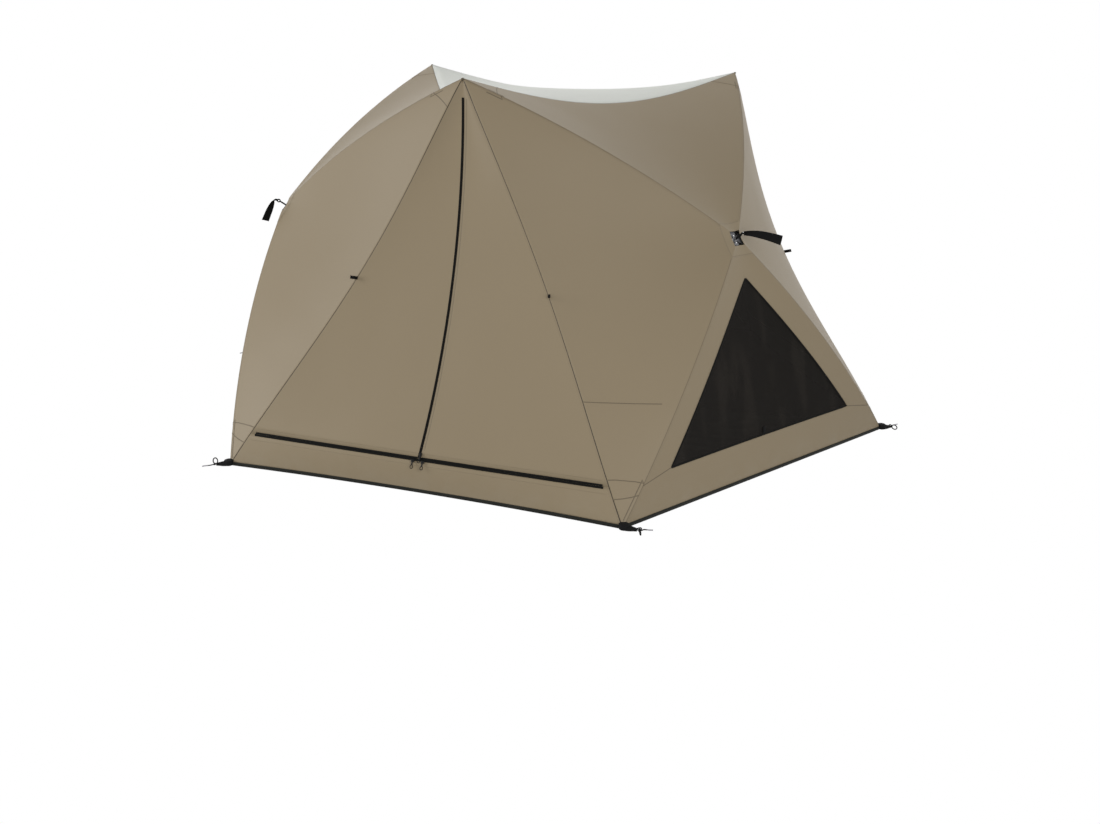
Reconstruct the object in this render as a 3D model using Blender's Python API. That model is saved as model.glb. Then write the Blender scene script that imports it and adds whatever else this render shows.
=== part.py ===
"""Instant tent: three pull-out hubs, twelve bowed poles and a six-sided cloth shell.

Metres, +Z up. The origin is on the ground below the tent's middle. The front door faces -Y.
The tent repeats itself at every third of a turn. Each third has a door, which is a triangle on
two ground corners and a peak, and a window side, whose four corners carry a hub in front of them.
Every piece is drawn for the front door or for the side on its right, and then stands three times.
"""
import math
from math import pi

import bmesh
import bpy
import numpy as np
from mathutils import Matrix, Vector

# Shell: corners, the hub in front of a side's four corners, and how far each edge is drawn in
PEAK_HEIGHT = 1.700
PEAK_RADIUS = 1.0245
DOOR_APOTHEM = 1.550
DOOR_HALF = 0.910
HUB_RISE = 0.343
RIDGE_BOW = 0.052
SEAM_DIP = 0.118
ZIP_DIP = 0.138
ROOF_DIP = 0.134
ROOF_MIDDLE = 0.600
BASE_ARCH = 0.030
CLOTH = 0.0015
GAP = 0.002
TRIM = 0.024

# Door, as shares of the way down from the peak, and half widths
ZIP_END = 0.920
SURROUND_TOP = 0.040
LEAF_TOP, LEAF_FOOT = 0.047, 0.915
FOLD_TOP, FOLD_FOOT = 0.012, 0.745
TAB_LENGTH, TAB_WIDTH, TAB_THICK, TAB_DROP = 0.036, 0.014, 0.002, 0.500

# Window, as shares of the way from the ground to the hub, and half widths
WINDOW_FOOT, WINDOW_TOP = 0.165, 0.820
WINDOW_HALF, WINDOW_TIP = 0.600, 0.012
MESH_GAP = 0.001
TOGGLE_LENGTH, TOGGLE_WIDTH, TOGGLE_THICK = 0.030, 0.008, 0.003

# Frame
POLE_RADIUS = 0.0055
POLE_BOW = 0.050
POLE_INSET = 0.014
POLE_END_GAP = 0.078
EYE_RADIUS, EYE_THICK, EYE_BORE = 0.0075, 0.008, 0.0026
HUB_RADIUS, HUB_HALF = 0.030, 0.008
HUB_OPENING = 0.036
PIN_RADIUS, PIN_CIRCLE, PIN_DEPTH = 0.002, 0.022, 0.028
SLOT = 0.009
BAIL_PIN, BAIL_TOP, BAIL_HALF = 0.017, 0.020, 0.0095

# Ground sheet, corner boots, pull straps and zip sliders
FLOOR = 0.0025
BOOT_START, BOOT_LENGTH = 0.004, 0.055
BOOT_WIDTHS, BOOT_HEIGHTS = (0.070, 0.026), (0.028, 0.008)
LOOP_RADIUS, CORD_RADIUS, TAIL = 0.014, 0.002, 0.048
STRAP_WIDTHS, STRAP_THICK = (0.022, 0.046), 0.003
STRAP_ROOT, STRAP_CORD = 0.012, 0.0026
SLIDER_SIZE, SLIDER_GAP = (0.012, 0.016, 0.006), 0.0020
BOTTOM_SLIDER_START, BOTTOM_SLIDER_TRAVEL = 0.026, 0.760

SIDES = ("right", "back", "left")
DOORS = ("front", "back_right", "back_left")
UP = np.array([0.0, 0.0, 1.0])


def unit(v):
    return np.asarray(v, float) / np.linalg.norm(v)


def radial(azimuth):
    angle = math.radians(azimuth)
    return np.array([math.cos(angle), math.sin(angle), 0.0])


# The front door: outward and rightward directions, peak and the middle of its ground line.
FRONT, FRONT_RIGHT = radial(-90), radial(0)
PEAK = PEAK_RADIUS * FRONT + PEAK_HEIGHT * UP
SILL = DOOR_APOTHEM * FRONT
DOOR_OUT = unit(np.cross(FRONT_RIGHT, PEAK - SILL))
DOOR_DROP = np.linalg.norm(PEAK - SILL)

# The window side on its right: its corners as seen from outside, its plane and its hub.
SIDE_OUT, SIDE_RIGHT = radial(-30), radial(60)
SIDE_HALF = PEAK_RADIUS * math.sin(pi / 3)
SIDE_FOOT = SIDE_OUT * (DOOR_APOTHEM * 0.5 + DOOR_HALF * math.sin(pi / 3))
SIDE_HEAD = SIDE_OUT * PEAK_RADIUS * 0.5 + PEAK_HEIGHT * UP
SIDE_UP = unit(SIDE_HEAD - SIDE_FOOT)
SIDE_NORMAL = np.cross(SIDE_RIGHT, SIDE_UP)
SIDE_MIDDLE = (SIDE_FOOT + SIDE_HEAD) / 2
HUB = SIDE_MIDDLE + HUB_RISE * SIDE_NORMAL
LOWER_LEFT = SILL + DOOR_HALF * FRONT_RIGHT
LOWER_RIGHT = LOWER_LEFT + 2 * (SIDE_FOOT - LOWER_LEFT)
UPPER_LEFT = PEAK
UPPER_RIGHT = SIDE_HEAD + SIDE_HALF * SIDE_RIGHT
CORNERS = {
    "upper_left": UPPER_LEFT,
    "upper_right": UPPER_RIGHT,
    "lower_left": LOWER_LEFT,
    "lower_right": LOWER_RIGHT,
}
# The door beyond the side's right edge is the front door turned by a third.
NEXT_DOOR_OUT = np.array(Matrix.Rotation(2 * pi / 3, 3, "Z") @ Vector(DOOR_OUT))


def seam_dip(drop):
    """How far a door's side seam is drawn in, at a share of the way down from the peak."""
    return SEAM_DIP * max(math.sin(pi * drop**0.9), 0.0) ** 1.5


ZIP_CHORD = ZIP_END * DOOR_DROP
ZIP_RADIUS = (ZIP_CHORD**2 / 4 + ZIP_DIP**2) / (2 * ZIP_DIP)


def zip_dip(drop):
    """How far the door's middle is drawn in: a round arc from the peak to the foot of the zip."""
    along = drop * DOOR_DROP - ZIP_CHORD / 2
    if abs(along) >= ZIP_CHORD / 2:
        return 0.0
    return math.sqrt(ZIP_RADIUS**2 - along**2) - (ZIP_RADIUS - ZIP_DIP)


def door_point(drop, x):
    """A point of the front door's outer face, x metres right of the zip."""
    across = min((x / (DOOR_HALF * drop)) ** 2, 1.0)
    dip = seam_dip(drop) * across + zip_dip(drop) * (1 - across)
    below = max(drop - LEAF_FOOT, 0.0) / (1 - LEAF_FOOT)
    arch = BASE_ARCH * (1 - across) * below**2
    flat = PEAK + (SILL - PEAK) * drop + FRONT_RIGHT * x
    return flat - DOOR_OUT * dip - FRONT * arch


def fold_x(drop):
    """Half the doorway's width: the straight line that each leaf folds back on."""
    share = (drop - LEAF_TOP) / (LEAF_FOOT - LEAF_TOP)
    return FOLD_TOP + (FOLD_FOOT - FOLD_TOP) * share


def bow(start, end, share, height, towards):
    """A point of a curve between two points that bows out towards a direction."""
    along = unit(end - start)
    out = unit(towards - (towards @ along) * along)
    return start + (end - start) * share + out * height * 4 * share * (1 - share)


def ridge(corner, share):
    """The cloth over a pole, from a corner (0) to the hub (1)."""
    return bow(corner, HUB, share, RIDGE_BOW, SIDE_NORMAL)


# Each panel's outer edge runs anticlockwise as seen from outside, with the hub as its third corner.
PANELS = {
    "bottom": (LOWER_LEFT, LOWER_RIGHT),
    "right": (LOWER_RIGHT, UPPER_RIGHT),
    "top": (UPPER_RIGHT, UPPER_LEFT),
    "left": (UPPER_LEFT, LOWER_LEFT),
}


def edge_dip(panel, v):
    """How a panel's outer edge is drawn away from the straight line between its corners."""
    if panel == "top":
        return -UP * ROOF_DIP * math.sin(pi * v)
    if panel == "right":
        return -NEXT_DOOR_OUT * seam_dip(1 - v)
    if panel == "left":
        return -DOOR_OUT * seam_dip(v)
    return np.zeros(3)


def panel_point(panel, u, v):
    """A point of a panel's outer face, u up from its outer edge to the hub and v along the edge."""
    start, end = PANELS[panel]
    out = unit(np.cross(end - start, HUB - start))
    ruled = ridge(start, u) * (1 - v) + ridge(end, u) * v
    hollow = 0.5 * RIDGE_BOW * 4 * u * (1 - u) * 4 * v * (1 - v)
    return ruled - out * hollow + edge_dip(panel, v) * (1 - u) ** 1.6


def roof_point(a, b, c):
    """A point of the roof sheet by its shares of the three peaks."""
    peaks = [np.array(Matrix.Rotation(i * 2 * pi / 3, 3, "Z") @ Vector(PEAK)) for i in range(3)]
    flat = a * peaks[0] + b * peaks[1] + c * peaks[2]
    sag = (math.sin(pi * a) + math.sin(pi * b) + math.sin(pi * c)) / 2
    return flat - UP * ROOF_DIP * (sag - ROOF_MIDDLE * 27 * a * b * c)


# How materials, blocks, bars, sheets and Booleans are made.


def material(name, colour, roughness, metallic=0.0):
    """A plain Principled material, made once for each name."""
    if name in bpy.data.materials:
        return bpy.data.materials[name]
    made = bpy.data.materials.new(name)
    made.use_nodes = True
    shader = made.node_tree.nodes["Principled BSDF"]
    shader.inputs["Base Color"].default_value = (*colour, 1.0)
    shader.inputs["Roughness"].default_value = roughness
    shader.inputs["Metallic"].default_value = metallic
    made.diffuse_color = (*colour, 1.0)
    return made


def new_mesh(name, points, faces):
    mesh = bpy.data.meshes.new(name)
    mesh.from_pydata([tuple(p) for p in points], [], faces)
    return mesh


def new_object(name, mesh):
    made = bpy.data.objects.new(name, mesh)
    bpy.context.collection.objects.link(made)
    return made


def from_bmesh(name, shape):
    mesh = bpy.data.meshes.new(name)
    shape.to_mesh(mesh)
    shape.free()
    return new_object(name, mesh)


def box(low, high, turn=0.0):
    """A block between two corners, turned about Z by an angle."""
    low, high = Vector(low), Vector(high)
    shape = bmesh.new()
    bmesh.ops.create_cube(shape, size=1.0)
    bmesh.ops.scale(shape, vec=high - low, verts=shape.verts)
    bmesh.ops.translate(shape, vec=(high + low) / 2, verts=shape.verts)
    bmesh.ops.rotate(shape, cent=(0, 0, 0), matrix=Matrix.Rotation(turn, 3, "Z"), verts=shape.verts)
    return from_bmesh("block", shape)


def bar(start, end, radius, sides=12):
    """A round bar between two points."""
    start, end = Vector(start), Vector(end)
    turn = (end - start).to_track_quat("Z", "Y").to_matrix().to_4x4()
    shape = bmesh.new()
    bmesh.ops.create_cone(
        shape,
        cap_ends=True,
        segments=sides,
        radius1=radius,
        radius2=radius,
        depth=(end - start).length,
        matrix=Matrix.Translation((start + end) / 2) @ turn,
    )
    return from_bmesh("bar", shape)


def tube(points, radius, sides=6):
    """A round rod through points that lie in one plane, with flat ends."""
    points = [Vector(p) for p in points]
    rings, normal = [], None
    for i, here in enumerate(points):
        ahead = points[min(i + 1, len(points) - 1)] - points[max(i - 1, 0)]
        ahead.normalize()
        normal = Vector((0, 1, 0)) if normal is None else normal
        other = ahead.cross(normal)
        for k in range(sides):
            angle = 2 * pi * (k + 0.5) / sides
            rings.append(here + radius * (math.cos(angle) * normal + math.sin(angle) * other))
    faces = []
    for i in range(len(points) - 1):
        for k in range(sides):
            a, b = i * sides + k, i * sides + (k + 1) % sides
            faces.append((a, b, b + sides, a + sides))
    faces.append(tuple(range(sides))[::-1])
    faces.append(tuple(range((len(points) - 1) * sides, len(points) * sides)))
    return new_object("tube", new_mesh("tube", rings, faces))


def combine(base, operation, tools):
    """Joins or cuts the tools into the base with Booleans, and removes them."""
    for tool in tools:
        change = base.modifiers.new(operation, "BOOLEAN")
        change.operation = operation
        change.object = tool
    graph = bpy.context.evaluated_depsgraph_get()
    mesh = bpy.data.meshes.new_from_object(base.evaluated_get(graph))
    base.modifiers.clear()
    base.data = mesh
    for tool in tools:
        bpy.data.objects.remove(tool)
    return base


def taken(base):
    """The mesh of a finished helper object, which goes."""
    mesh = base.data
    bpy.data.objects.remove(base)
    return mesh


def grid_faces(rows, columns, closed=False):
    """Triangles between the rows of a grid, whose normals face a viewer who sees row 0 lowest."""
    faces = []
    for i in range(rows - 1):
        for k in range(columns if closed else columns - 1):
            a, b = i * columns + k, i * columns + (k + 1) % columns
            faces += [(a, b, b + columns), (a, b + columns, a + columns)]
    return faces


def sheet_mesh(name, rows, origin, closed=False):
    """The outer face of a cloth piece, as rows of points about an origin."""
    points = [np.asarray(p) - origin for row in rows for p in row]
    return new_mesh(name, points, grid_faces(len(rows), len(rows[0]), closed))


def thicken(made):
    """Gives a sheet its thickness on the inner side."""
    solid = made.modifiers.new("cloth", "SOLIDIFY")
    solid.thickness = CLOTH
    solid.offset = -1
    return made


def route(keys, counts):
    """Points along a closed line through keys, with a count of steps on each stretch."""
    points = []
    for i, count in enumerate(counts):
        a, b = np.array(keys[i], float), np.array(keys[(i + 1) % len(keys)], float)
        points += [a + (b - a) * s / count for s in range(count)]
    return points


# Three empties carry the thirds of the tent.
THIRDS = []


def thirds():
    for i in range(3):
        empty = bpy.data.objects.new(f"third_{i}", None)
        empty.rotation_euler = (0, 0, i * 2 * pi / 3)
        bpy.context.collection.objects.link(empty)
        THIRDS.append(empty)


def three(stem, names, mesh, look, origin=(0, 0, 0), axes=None, sheet=False):
    """Stands a piece in each third, with its origin and axes as for the front."""
    if not mesh.materials:
        mesh.materials.append(look)
    turn = Matrix(np.array(axes).T.tolist()).to_4x4() if axes else Matrix()
    made = []
    for name, third in zip(names, THIRDS):
        one = new_object(f"{stem}_{name}", mesh)
        one.parent = third
        one.matrix_local = Matrix.Translation(Vector(origin)) @ turn
        made.append(thicken(one) if sheet else one)
    return made


# The cloth shell: window sides, doors, roof and ground sheet.


def side_panels(look):
    """The top, left and right triangles of a window side. Each hinges on its outer edge."""
    for panel in ("top", "right", "left"):
        start, end = PANELS[panel]
        height = np.linalg.norm(HUB - (start + end) / 2)
        width = np.linalg.norm(end - start)
        heights = [GAP / height, TRIM / height, *np.linspace(0.1, 1 - HUB_OPENING / height, 8)]
        rows = []
        for i, u in enumerate(heights):
            edge = TRIM / width if i == 0 else GAP / (0.7 * width * (1 - u))
            rows.append([panel_point(panel, u, v) for v in np.linspace(edge, 1 - edge, 9)])
        mesh = sheet_mesh(f"panel_{panel}", rows, start)
        three(f"panel_{panel}", SIDES, mesh, look, start, sheet=True)


def window_wall_point(u, x):
    return panel_point("bottom", u, 0.5 + x / (2 * SIDE_HALF * (1 - u)))


def window_edge(u):
    """Half the window's width at a height."""
    share = (u - WINDOW_FOOT) / (WINDOW_TOP - WINDOW_FOOT)
    return WINDOW_HALF + (WINDOW_TIP - WINDOW_HALF) * share


def window_wall(look):
    """The bottom triangle of a window side, a frame of cloth around the window."""
    height = np.linalg.norm(HUB - SIDE_FOOT)
    low, top = (FLOOR + 0.001) / HUB[2], 1 - HUB_OPENING / height

    def edge(u):
        return SIDE_HALF * (1 - u) - GAP / 0.7

    knee, notch = TRIM / height, WINDOW_FOOT + 0.01
    outer = [(low, edge(low) - TRIM), (knee + low, edge(knee + low)), (top, edge(top))]
    inner = [(WINDOW_FOOT, WINDOW_HALF), (notch, window_edge(notch)), (WINDOW_TOP, WINDOW_TIP)]
    counts = (8, 1, 9, 2, 9, 1)
    rows = []
    outer_line, inner_line = (
        route([(k[0][0], -k[0][1]), *k, *[(u, -x) for u, x in k[:0:-1]]], counts) for k in (outer, inner)
    )
    for share in (0, 0.5, 1):
        line = [a + (b - a) * share for a, b in zip(outer_line, inner_line)]
        rows.append([window_wall_point(u, x) for u, x in line])
    mesh = sheet_mesh("panel_bottom", rows, LOWER_LEFT, closed=True)
    three("panel_bottom", SIDES, mesh, look, LOWER_LEFT, sheet=True)


def slab(root, out, along, size, sink=0.001):
    """A flat tab that stands out of a point: its length, its width along a direction, its thickness."""
    out = unit(out - (out @ along) * along)
    length, width, thick = size
    turn = Matrix(np.array([out, along, np.cross(out, along)]).T.tolist()).to_4x4()
    tab = box((-sink, -width / 2, -thick / 2), (length, width / 2, thick / 2))
    tab.data.transform(Matrix.Translation(Vector(root)) @ turn)
    return tab


def window_mesh(look):
    """The window's netting, with the small toggle that stands out at its foot."""
    rows = []
    for u in np.linspace(WINDOW_FOOT + MESH_GAP, WINDOW_TOP - MESH_GAP, 8):
        half = window_edge(u) - 1.5 * MESH_GAP
        rows.append([window_wall_point(u, x) for x in np.linspace(-half, half, 5)])
    netting = thicken(new_object("netting", sheet_mesh("netting", rows, LOWER_LEFT)))
    foot = window_wall_point(WINDOW_FOOT + 0.012, 0.0) - LOWER_LEFT
    size = (TOGGLE_LENGTH, TOGGLE_WIDTH, TOGGLE_THICK)
    toggle = slab(foot, SIDE_OUT + UP, SIDE_RIGHT, size)
    mesh = taken(combine(netting, "UNION", [toggle]))
    three("window_mesh", SIDES, mesh, look, LOWER_LEFT)


def seam_tab(side, edge):
    """The webbing tab that stands out of a door's seam at half its height."""
    x = side * (edge(TAB_DROP) - TAB_THICK)
    step = 0.01
    ahead = unit(door_point(TAB_DROP - step, x) - door_point(TAB_DROP + step, x))
    root = door_point(TAB_DROP, x) - SILL
    return slab(root, radial(-90 + 30 * side), ahead, (TAB_LENGTH, TAB_WIDTH, TAB_THICK))


def door_surround(look):
    """The fixed cloth around a doorway: a strip along each seam and the sill, with a tab on each seam."""
    low = 1 - (FLOOR + 0.001) / PEAK_HEIGHT
    knee, top = low - TRIM / DOOR_DROP, TRIM / DOOR_DROP

    def edge(drop):
        return DOOR_HALF * drop - 1.15 * GAP

    notch = LEAF_FOOT - 0.01
    outer = [(low, edge(low) - TRIM), (knee, edge(knee)), (top, edge(top))]
    inner = [(LEAF_FOOT, FOLD_FOOT), (notch, fold_x(notch)), (SURROUND_TOP, 0.008)]
    counts = (10, 1, 12, 2, 12, 1)
    outer_line, inner_line = (
        route([(k[0][0], -k[0][1]), *k, *[(t, -x) for t, x in k[:0:-1]]], counts) for k in (outer, inner)
    )
    rows = []
    for share in (0, 0.5, 1):
        line = [a + (b - a) * share for a, b in zip(outer_line, inner_line)]
        rows.append([door_point(t, x) for t, x in line])
    frame = thicken(new_object("frame", sheet_mesh("frame", rows, SILL, closed=True)))
    mesh = taken(combine(frame, "UNION", [seam_tab(side, edge) for side in (1, -1)]))
    three("door_surround", DOORS, mesh, look, SILL)


def fold_line(side):
    """The ends of the line that a leaf folds on, lower end first. Side is 1 for right, -1 for left."""
    return door_point(LEAF_FOOT, side * FOLD_FOOT), door_point(LEAF_TOP, side * FOLD_TOP)


def door_leaves(look):
    """The two leaves of a door, which meet at the zip."""
    for side, word in ((1, "right"), (-1, "left")):
        foot = fold_line(side)[0]
        rows = []
        for drop in np.linspace(LEAF_FOOT - GAP, LEAF_TOP, 11):
            ends = sorted((side * GAP * 0.75, side * (fold_x(drop) - GAP)))
            rows.append([door_point(drop, x) for x in np.linspace(*ends, 4)])
        mesh = sheet_mesh(f"door_leaf_{word}", rows, foot)
        three(f"door_leaf_{word}", DOORS, mesh, look, foot, sheet=True)


def roof(look):
    """The pale sheet between the three peaks, with a pocket for the pole tips on each peak."""
    steps, inset = 9, 0.0022
    points, faces, index = [], [], {}
    for i in range(steps + 1):
        for k in range(steps + 1 - i):
            shares = np.array([steps - i - k, i, k]) / steps
            shares = inset + shares * (1 - 3 * inset)
            index[i, k] = len(points)
            points.append(roof_point(*shares))
    for i in range(steps):
        for k in range(steps - i):
            faces.append((index[i, k], index[i + 1, k], index[i, k + 1]))
            if k < steps - i - 1:
                faces.append((index[i + 1, k], index[i + 1, k + 1], index[i, k + 1]))
    sheet = thicken(new_object("sheet", new_mesh("sheet", points, faces)))
    pockets = []
    for i in range(3):
        shape = bmesh.new()
        bmesh.ops.create_uvsphere(shape, u_segments=8, v_segments=6, radius=0.017)
        peak = Matrix.Rotation(i * 2 * pi / 3, 3, "Z") @ Vector(PEAK)
        bmesh.ops.translate(shape, vec=peak - Vector((0, 0, 0.006)), verts=shape.verts)
        pockets.append(from_bmesh("pocket", shape))
    whole = combine(sheet, "UNION", pockets)
    whole.name = "roof_sheet"
    whole.data.materials.clear()
    whole.data.materials.append(look)


def ground_sheet(look):
    """The floor, a little wider than the walls that stand on it."""
    outline = []
    for i in range(3):
        turn = Matrix.Rotation(i * 2 * pi / 3, 3, "Z")
        edge = DOOR_HALF - TRIM * 0.8
        for x in np.linspace(-edge, edge, 9):
            outline.append(turn @ Vector(door_point(1.0, x) + 0.003 * FRONT))
        edge = SIDE_HALF - TRIM * 0.8
        for x in (-edge, edge):
            outline.append(turn @ Vector(SIDE_FOOT + x * SIDE_RIGHT + 0.003 * SIDE_OUT))
    shape = bmesh.new()
    face = shape.faces.new([shape.verts.new((p.x, p.y, 0)) for p in outline])
    raised = bmesh.ops.extrude_face_region(shape, geom=[face])["geom"]
    bmesh.ops.translate(
        shape, vec=(0, 0, FLOOR), verts=[g for g in raised if isinstance(g, bmesh.types.BMVert)]
    )
    bmesh.ops.recalc_face_normals(shape, faces=shape.faces)
    bmesh.ops.triangulate(shape, faces=shape.faces)
    sheet = from_bmesh("ground_sheet", shape)
    sheet.data.materials.append(look)


# The frame: bowed poles, hubs and their pull straps.


HALF_DIAGONAL = math.hypot(SIDE_HALF, np.linalg.norm(SIDE_HEAD - SIDE_FOOT) / 2)


def pole_shape():
    """A bowed pole from its hub pin at the origin. X runs out to the corner and Z out of the side."""
    across = np.array([0.0, 1.0, 0.0])
    hub = np.array([-PIN_CIRCLE, 0.0, PIN_DEPTH])
    corner = np.array([HALF_DIAGONAL - PIN_CIRCLE, 0.0, PIN_DEPTH - HUB_RISE])
    share = POLE_END_GAP / np.linalg.norm(corner - hub)
    out = np.array([0.0, 0.0, 1.0])
    tip = bow(corner, hub, share, RIDGE_BOW, out)
    tip = tip - POLE_INSET * unit(np.cross(corner - hub, across))
    pin = np.zeros(3)
    start = 0.013 / np.linalg.norm(tip)
    return [bow(pin, tip, s, POLE_BOW, out) for s in np.linspace(start, 1, 9)]


def pole_mesh():
    """The pole with the flat eye that turns on its hub pin."""
    half = EYE_THICK / 2
    rod = tube(pole_shape(), POLE_RADIUS)
    eye = bar((0, -half, 0), (0, half, 0), EYE_RADIUS, 16)
    drop = math.tan(math.radians(6))
    neck = box((0, -half + 0.0003, -0.0045), (0.0175, half - 0.0003, 0.0045 - drop * 0.01))
    whole = combine(eye, "UNION", [neck, rod])
    whole = combine(whole, "DIFFERENCE", [bar((0, -0.02, 0), (0, 0.02, 0), EYE_BORE)])
    return taken(whole)


def pole_axes(corner):
    """A pole's pivot, and its directions: out to the corner, across, and out of the side."""
    reach = corner - SIDE_MIDDLE
    ahead = unit(reach - (reach @ SIDE_NORMAL) * SIDE_NORMAL)
    pivot = SIDE_MIDDLE + (HUB_RISE - PIN_DEPTH) * SIDE_NORMAL + PIN_CIRCLE * ahead
    return pivot, (ahead, np.cross(SIDE_NORMAL, ahead), SIDE_NORMAL)


def poles(look):
    mesh = pole_mesh()
    for place, corner in CORNERS.items():
        pivot, axes = pole_axes(corner)
        three(f"pole_{place}", SIDES, mesh, look, pivot, axes)


HUB_AXES = (SIDE_RIGHT, SIDE_UP, SIDE_NORMAL)
HUB_CENTRE = SIDE_MIDDLE + (HUB_RISE - PIN_DEPTH) * SIDE_NORMAL


def hubs(look):
    """A disc with a slot and a pin for each pole, and a bail for the pull strap."""
    turn = math.atan2(np.linalg.norm(SIDE_HEAD - SIDE_FOOT) / 2, SIDE_HALF)
    turns = (turn, pi - turn, pi + turn, -turn)
    disc = bar((0, 0, -HUB_HALF), (0, 0, HUB_HALF), HUB_RADIUS, 24)
    cuts = [box((0.0134, -SLOT / 2, -0.02), (0.05, SLOT / 2, 0.02), angle) for angle in turns]
    disc = combine(disc, "DIFFERENCE", cuts)
    pins = []
    for angle in turns:
        middle = Vector((math.cos(angle), math.sin(angle), 0)) * PIN_CIRCLE
        beside = Vector((-math.sin(angle), math.cos(angle), 0)) * (SLOT / 2 + 0.002)
        pins.append(bar(middle - beside, middle + beside, PIN_RADIUS, 10))
    inner = BAIL_HALF - 0.002
    posts = [
        box((-BAIL_HALF, -0.003, HUB_HALF - 0.002), (-inner, 0.003, BAIL_TOP)),
        box((inner, -0.003, HUB_HALF - 0.002), (BAIL_HALF, 0.003, BAIL_TOP)),
    ]
    pin = bar((-BAIL_HALF + 0.001, 0, BAIL_PIN), (BAIL_HALF - 0.001, 0, BAIL_PIN), PIN_RADIUS, 10)
    mesh = taken(combine(disc, "UNION", pins + posts + [pin]))
    three("hub", SIDES, mesh, look, HUB_CENTRE, HUB_AXES)


STRAP_PIN = HUB_CENTRE + BAIL_PIN * SIDE_NORMAL
# Each strap's line from the bail: sideways, outward and upward. Its first two points carry a cord.
# The right one stands out on its edge and leans sideways. The others bend over and hang.
STRAP_LEAN = math.radians(18)
STRAP_RISE = [(0.000, 0.029), (0.040, 0.031), (0.085, 0.029), (0.130, 0.023), (0.172, 0.015)]
STANDING = [(-0.006 - math.sin(STRAP_LEAN) * s, 0.038 + math.cos(STRAP_LEAN) * s, z) for s, z in STRAP_RISE]
HANGING = [
    (0.0, 0.040, 0.026),
    (0.0, 0.052, 0.030),
    (0.0, 0.063, 0.023),
    (0.0, 0.071, 0.006),
    (0.0, 0.089, -0.034),
    (0.0, 0.107, -0.076),
]


def strap_mesh(name, line, across):
    """A webbing strap on a cord whose sleeve turns on the bail. Y runs outward, X across."""
    line = [np.array(p) for p in line]
    points, faces, count = [], [], len(line)
    across = np.array(across)
    for i, here in enumerate(line):
        ahead = unit(line[min(i + 1, count - 1)] - line[max(i - 1, 0)])
        side = unit(across - (across @ ahead) * ahead)
        face = np.cross(side, ahead) * STRAP_THICK / 2
        half = STRAP_WIDTHS[0] + (STRAP_WIDTHS[1] - STRAP_WIDTHS[0]) * i / (count - 1)
        side = side * half / 2
        points += [here - side - face, here + side - face, here + side + face, here - side + face]
    for i in range(count - 1):
        for k in range(4):
            a, b = 4 * i + k, 4 * i + (k + 1) % 4
            faces.append((a, b, b + 4, a + 4))
    faces += [(3, 2, 1, 0), tuple(range(4 * count - 4, 4 * count))]
    shape = bmesh.new()
    shape.from_mesh(new_mesh(name, points, faces))
    bmesh.ops.recalc_face_normals(shape, faces=shape.faces)
    band = from_bmesh(name, shape)
    sleeve = bar((-STRAP_ROOT / 2, 0, 0), (STRAP_ROOT / 2, 0, 0), 0.005)
    cord = bar((0, 0.002, 0.001), line[0] + 0.3 * (line[1] - line[0]), STRAP_CORD, 8)
    whole = combine(band, "UNION", [sleeve, cord])
    return taken(combine(whole, "DIFFERENCE", [bar((-0.02, 0, 0), (0.02, 0, 0), EYE_BORE)]))


def straps(look):
    for i, side in enumerate(SIDES):
        if side == "right":
            mesh = strap_mesh(f"pull_strap_{side}", STANDING, (0, 0, 1))
        else:
            mesh = strap_mesh(f"pull_strap_{side}", HANGING, (1, 0, 0))
        mesh.materials.append(look)
        one = new_object(f"pull_strap_{side}", mesh)
        one.parent = THIRDS[i]
        turn = Matrix(np.array([-SIDE_RIGHT, SIDE_OUT, UP]).T.tolist()).to_4x4()
        one.matrix_local = Matrix.Translation(Vector(STRAP_PIN)) @ turn


# Corner boots and zip sliders.


def boot_mesh():
    """A wedge on a ground corner with the peg loop's cord. X runs outward, along the ground."""
    end = BOOT_START + BOOT_LENGTH
    points = []
    for x, width, height in zip((BOOT_START, end), BOOT_WIDTHS, BOOT_HEIGHTS):
        for y, z in ((-0.5, 0), (0.5, 0), (0.34, 1), (-0.34, 1)):
            points.append((x, y * width, z * height))
    faces = [(3, 2, 1, 0), (4, 5, 6, 7), (0, 1, 5, 4), (1, 2, 6, 5), (2, 3, 7, 6), (3, 0, 4, 7)]
    shape = bmesh.new()
    shape.from_mesh(new_mesh("wedge", points, faces))
    bmesh.ops.recalc_face_normals(shape, faces=shape.faces)
    wedge = from_bmesh("wedge", shape)
    middle, height = end + LOOP_RADIUS - 0.004, CORD_RADIUS + 0.0005
    rings, faces, steps, sides = [], [], 14, 6
    for i in range(steps):
        angle = 2 * pi * i / steps
        for k in range(sides):
            around = 2 * pi * (k + 0.5) / sides
            reach = LOOP_RADIUS + CORD_RADIUS * math.cos(around)
            up = height + CORD_RADIUS * math.sin(around)
            rings.append((middle + reach * math.cos(angle), reach * math.sin(angle), up))
            a, b = i * sides + k, i * sides + (k + 1) % sides
            ahead = (i + 1) % steps * sides - i * sides
            faces.append((a, a + ahead, b + ahead, b))
    loop = new_object("loop", new_mesh("loop", rings, faces))
    tail_start = Vector((middle + LOOP_RADIUS - 0.001, 0.0, height))
    tail = bar(tail_start, tail_start + Vector((0.8, 0.6, 0)) * TAIL, CORD_RADIUS, 6)
    return taken(combine(wedge, "UNION", [loop, tail]))


def boots(look):
    mesh = boot_mesh()
    for word, corner in (("left", LOWER_LEFT), ("right", LOWER_RIGHT)):
        out = unit(corner)
        three(f"corner_boot_{word}", SIDES, mesh, look, corner, (out, np.cross(UP, out), UP))


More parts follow.
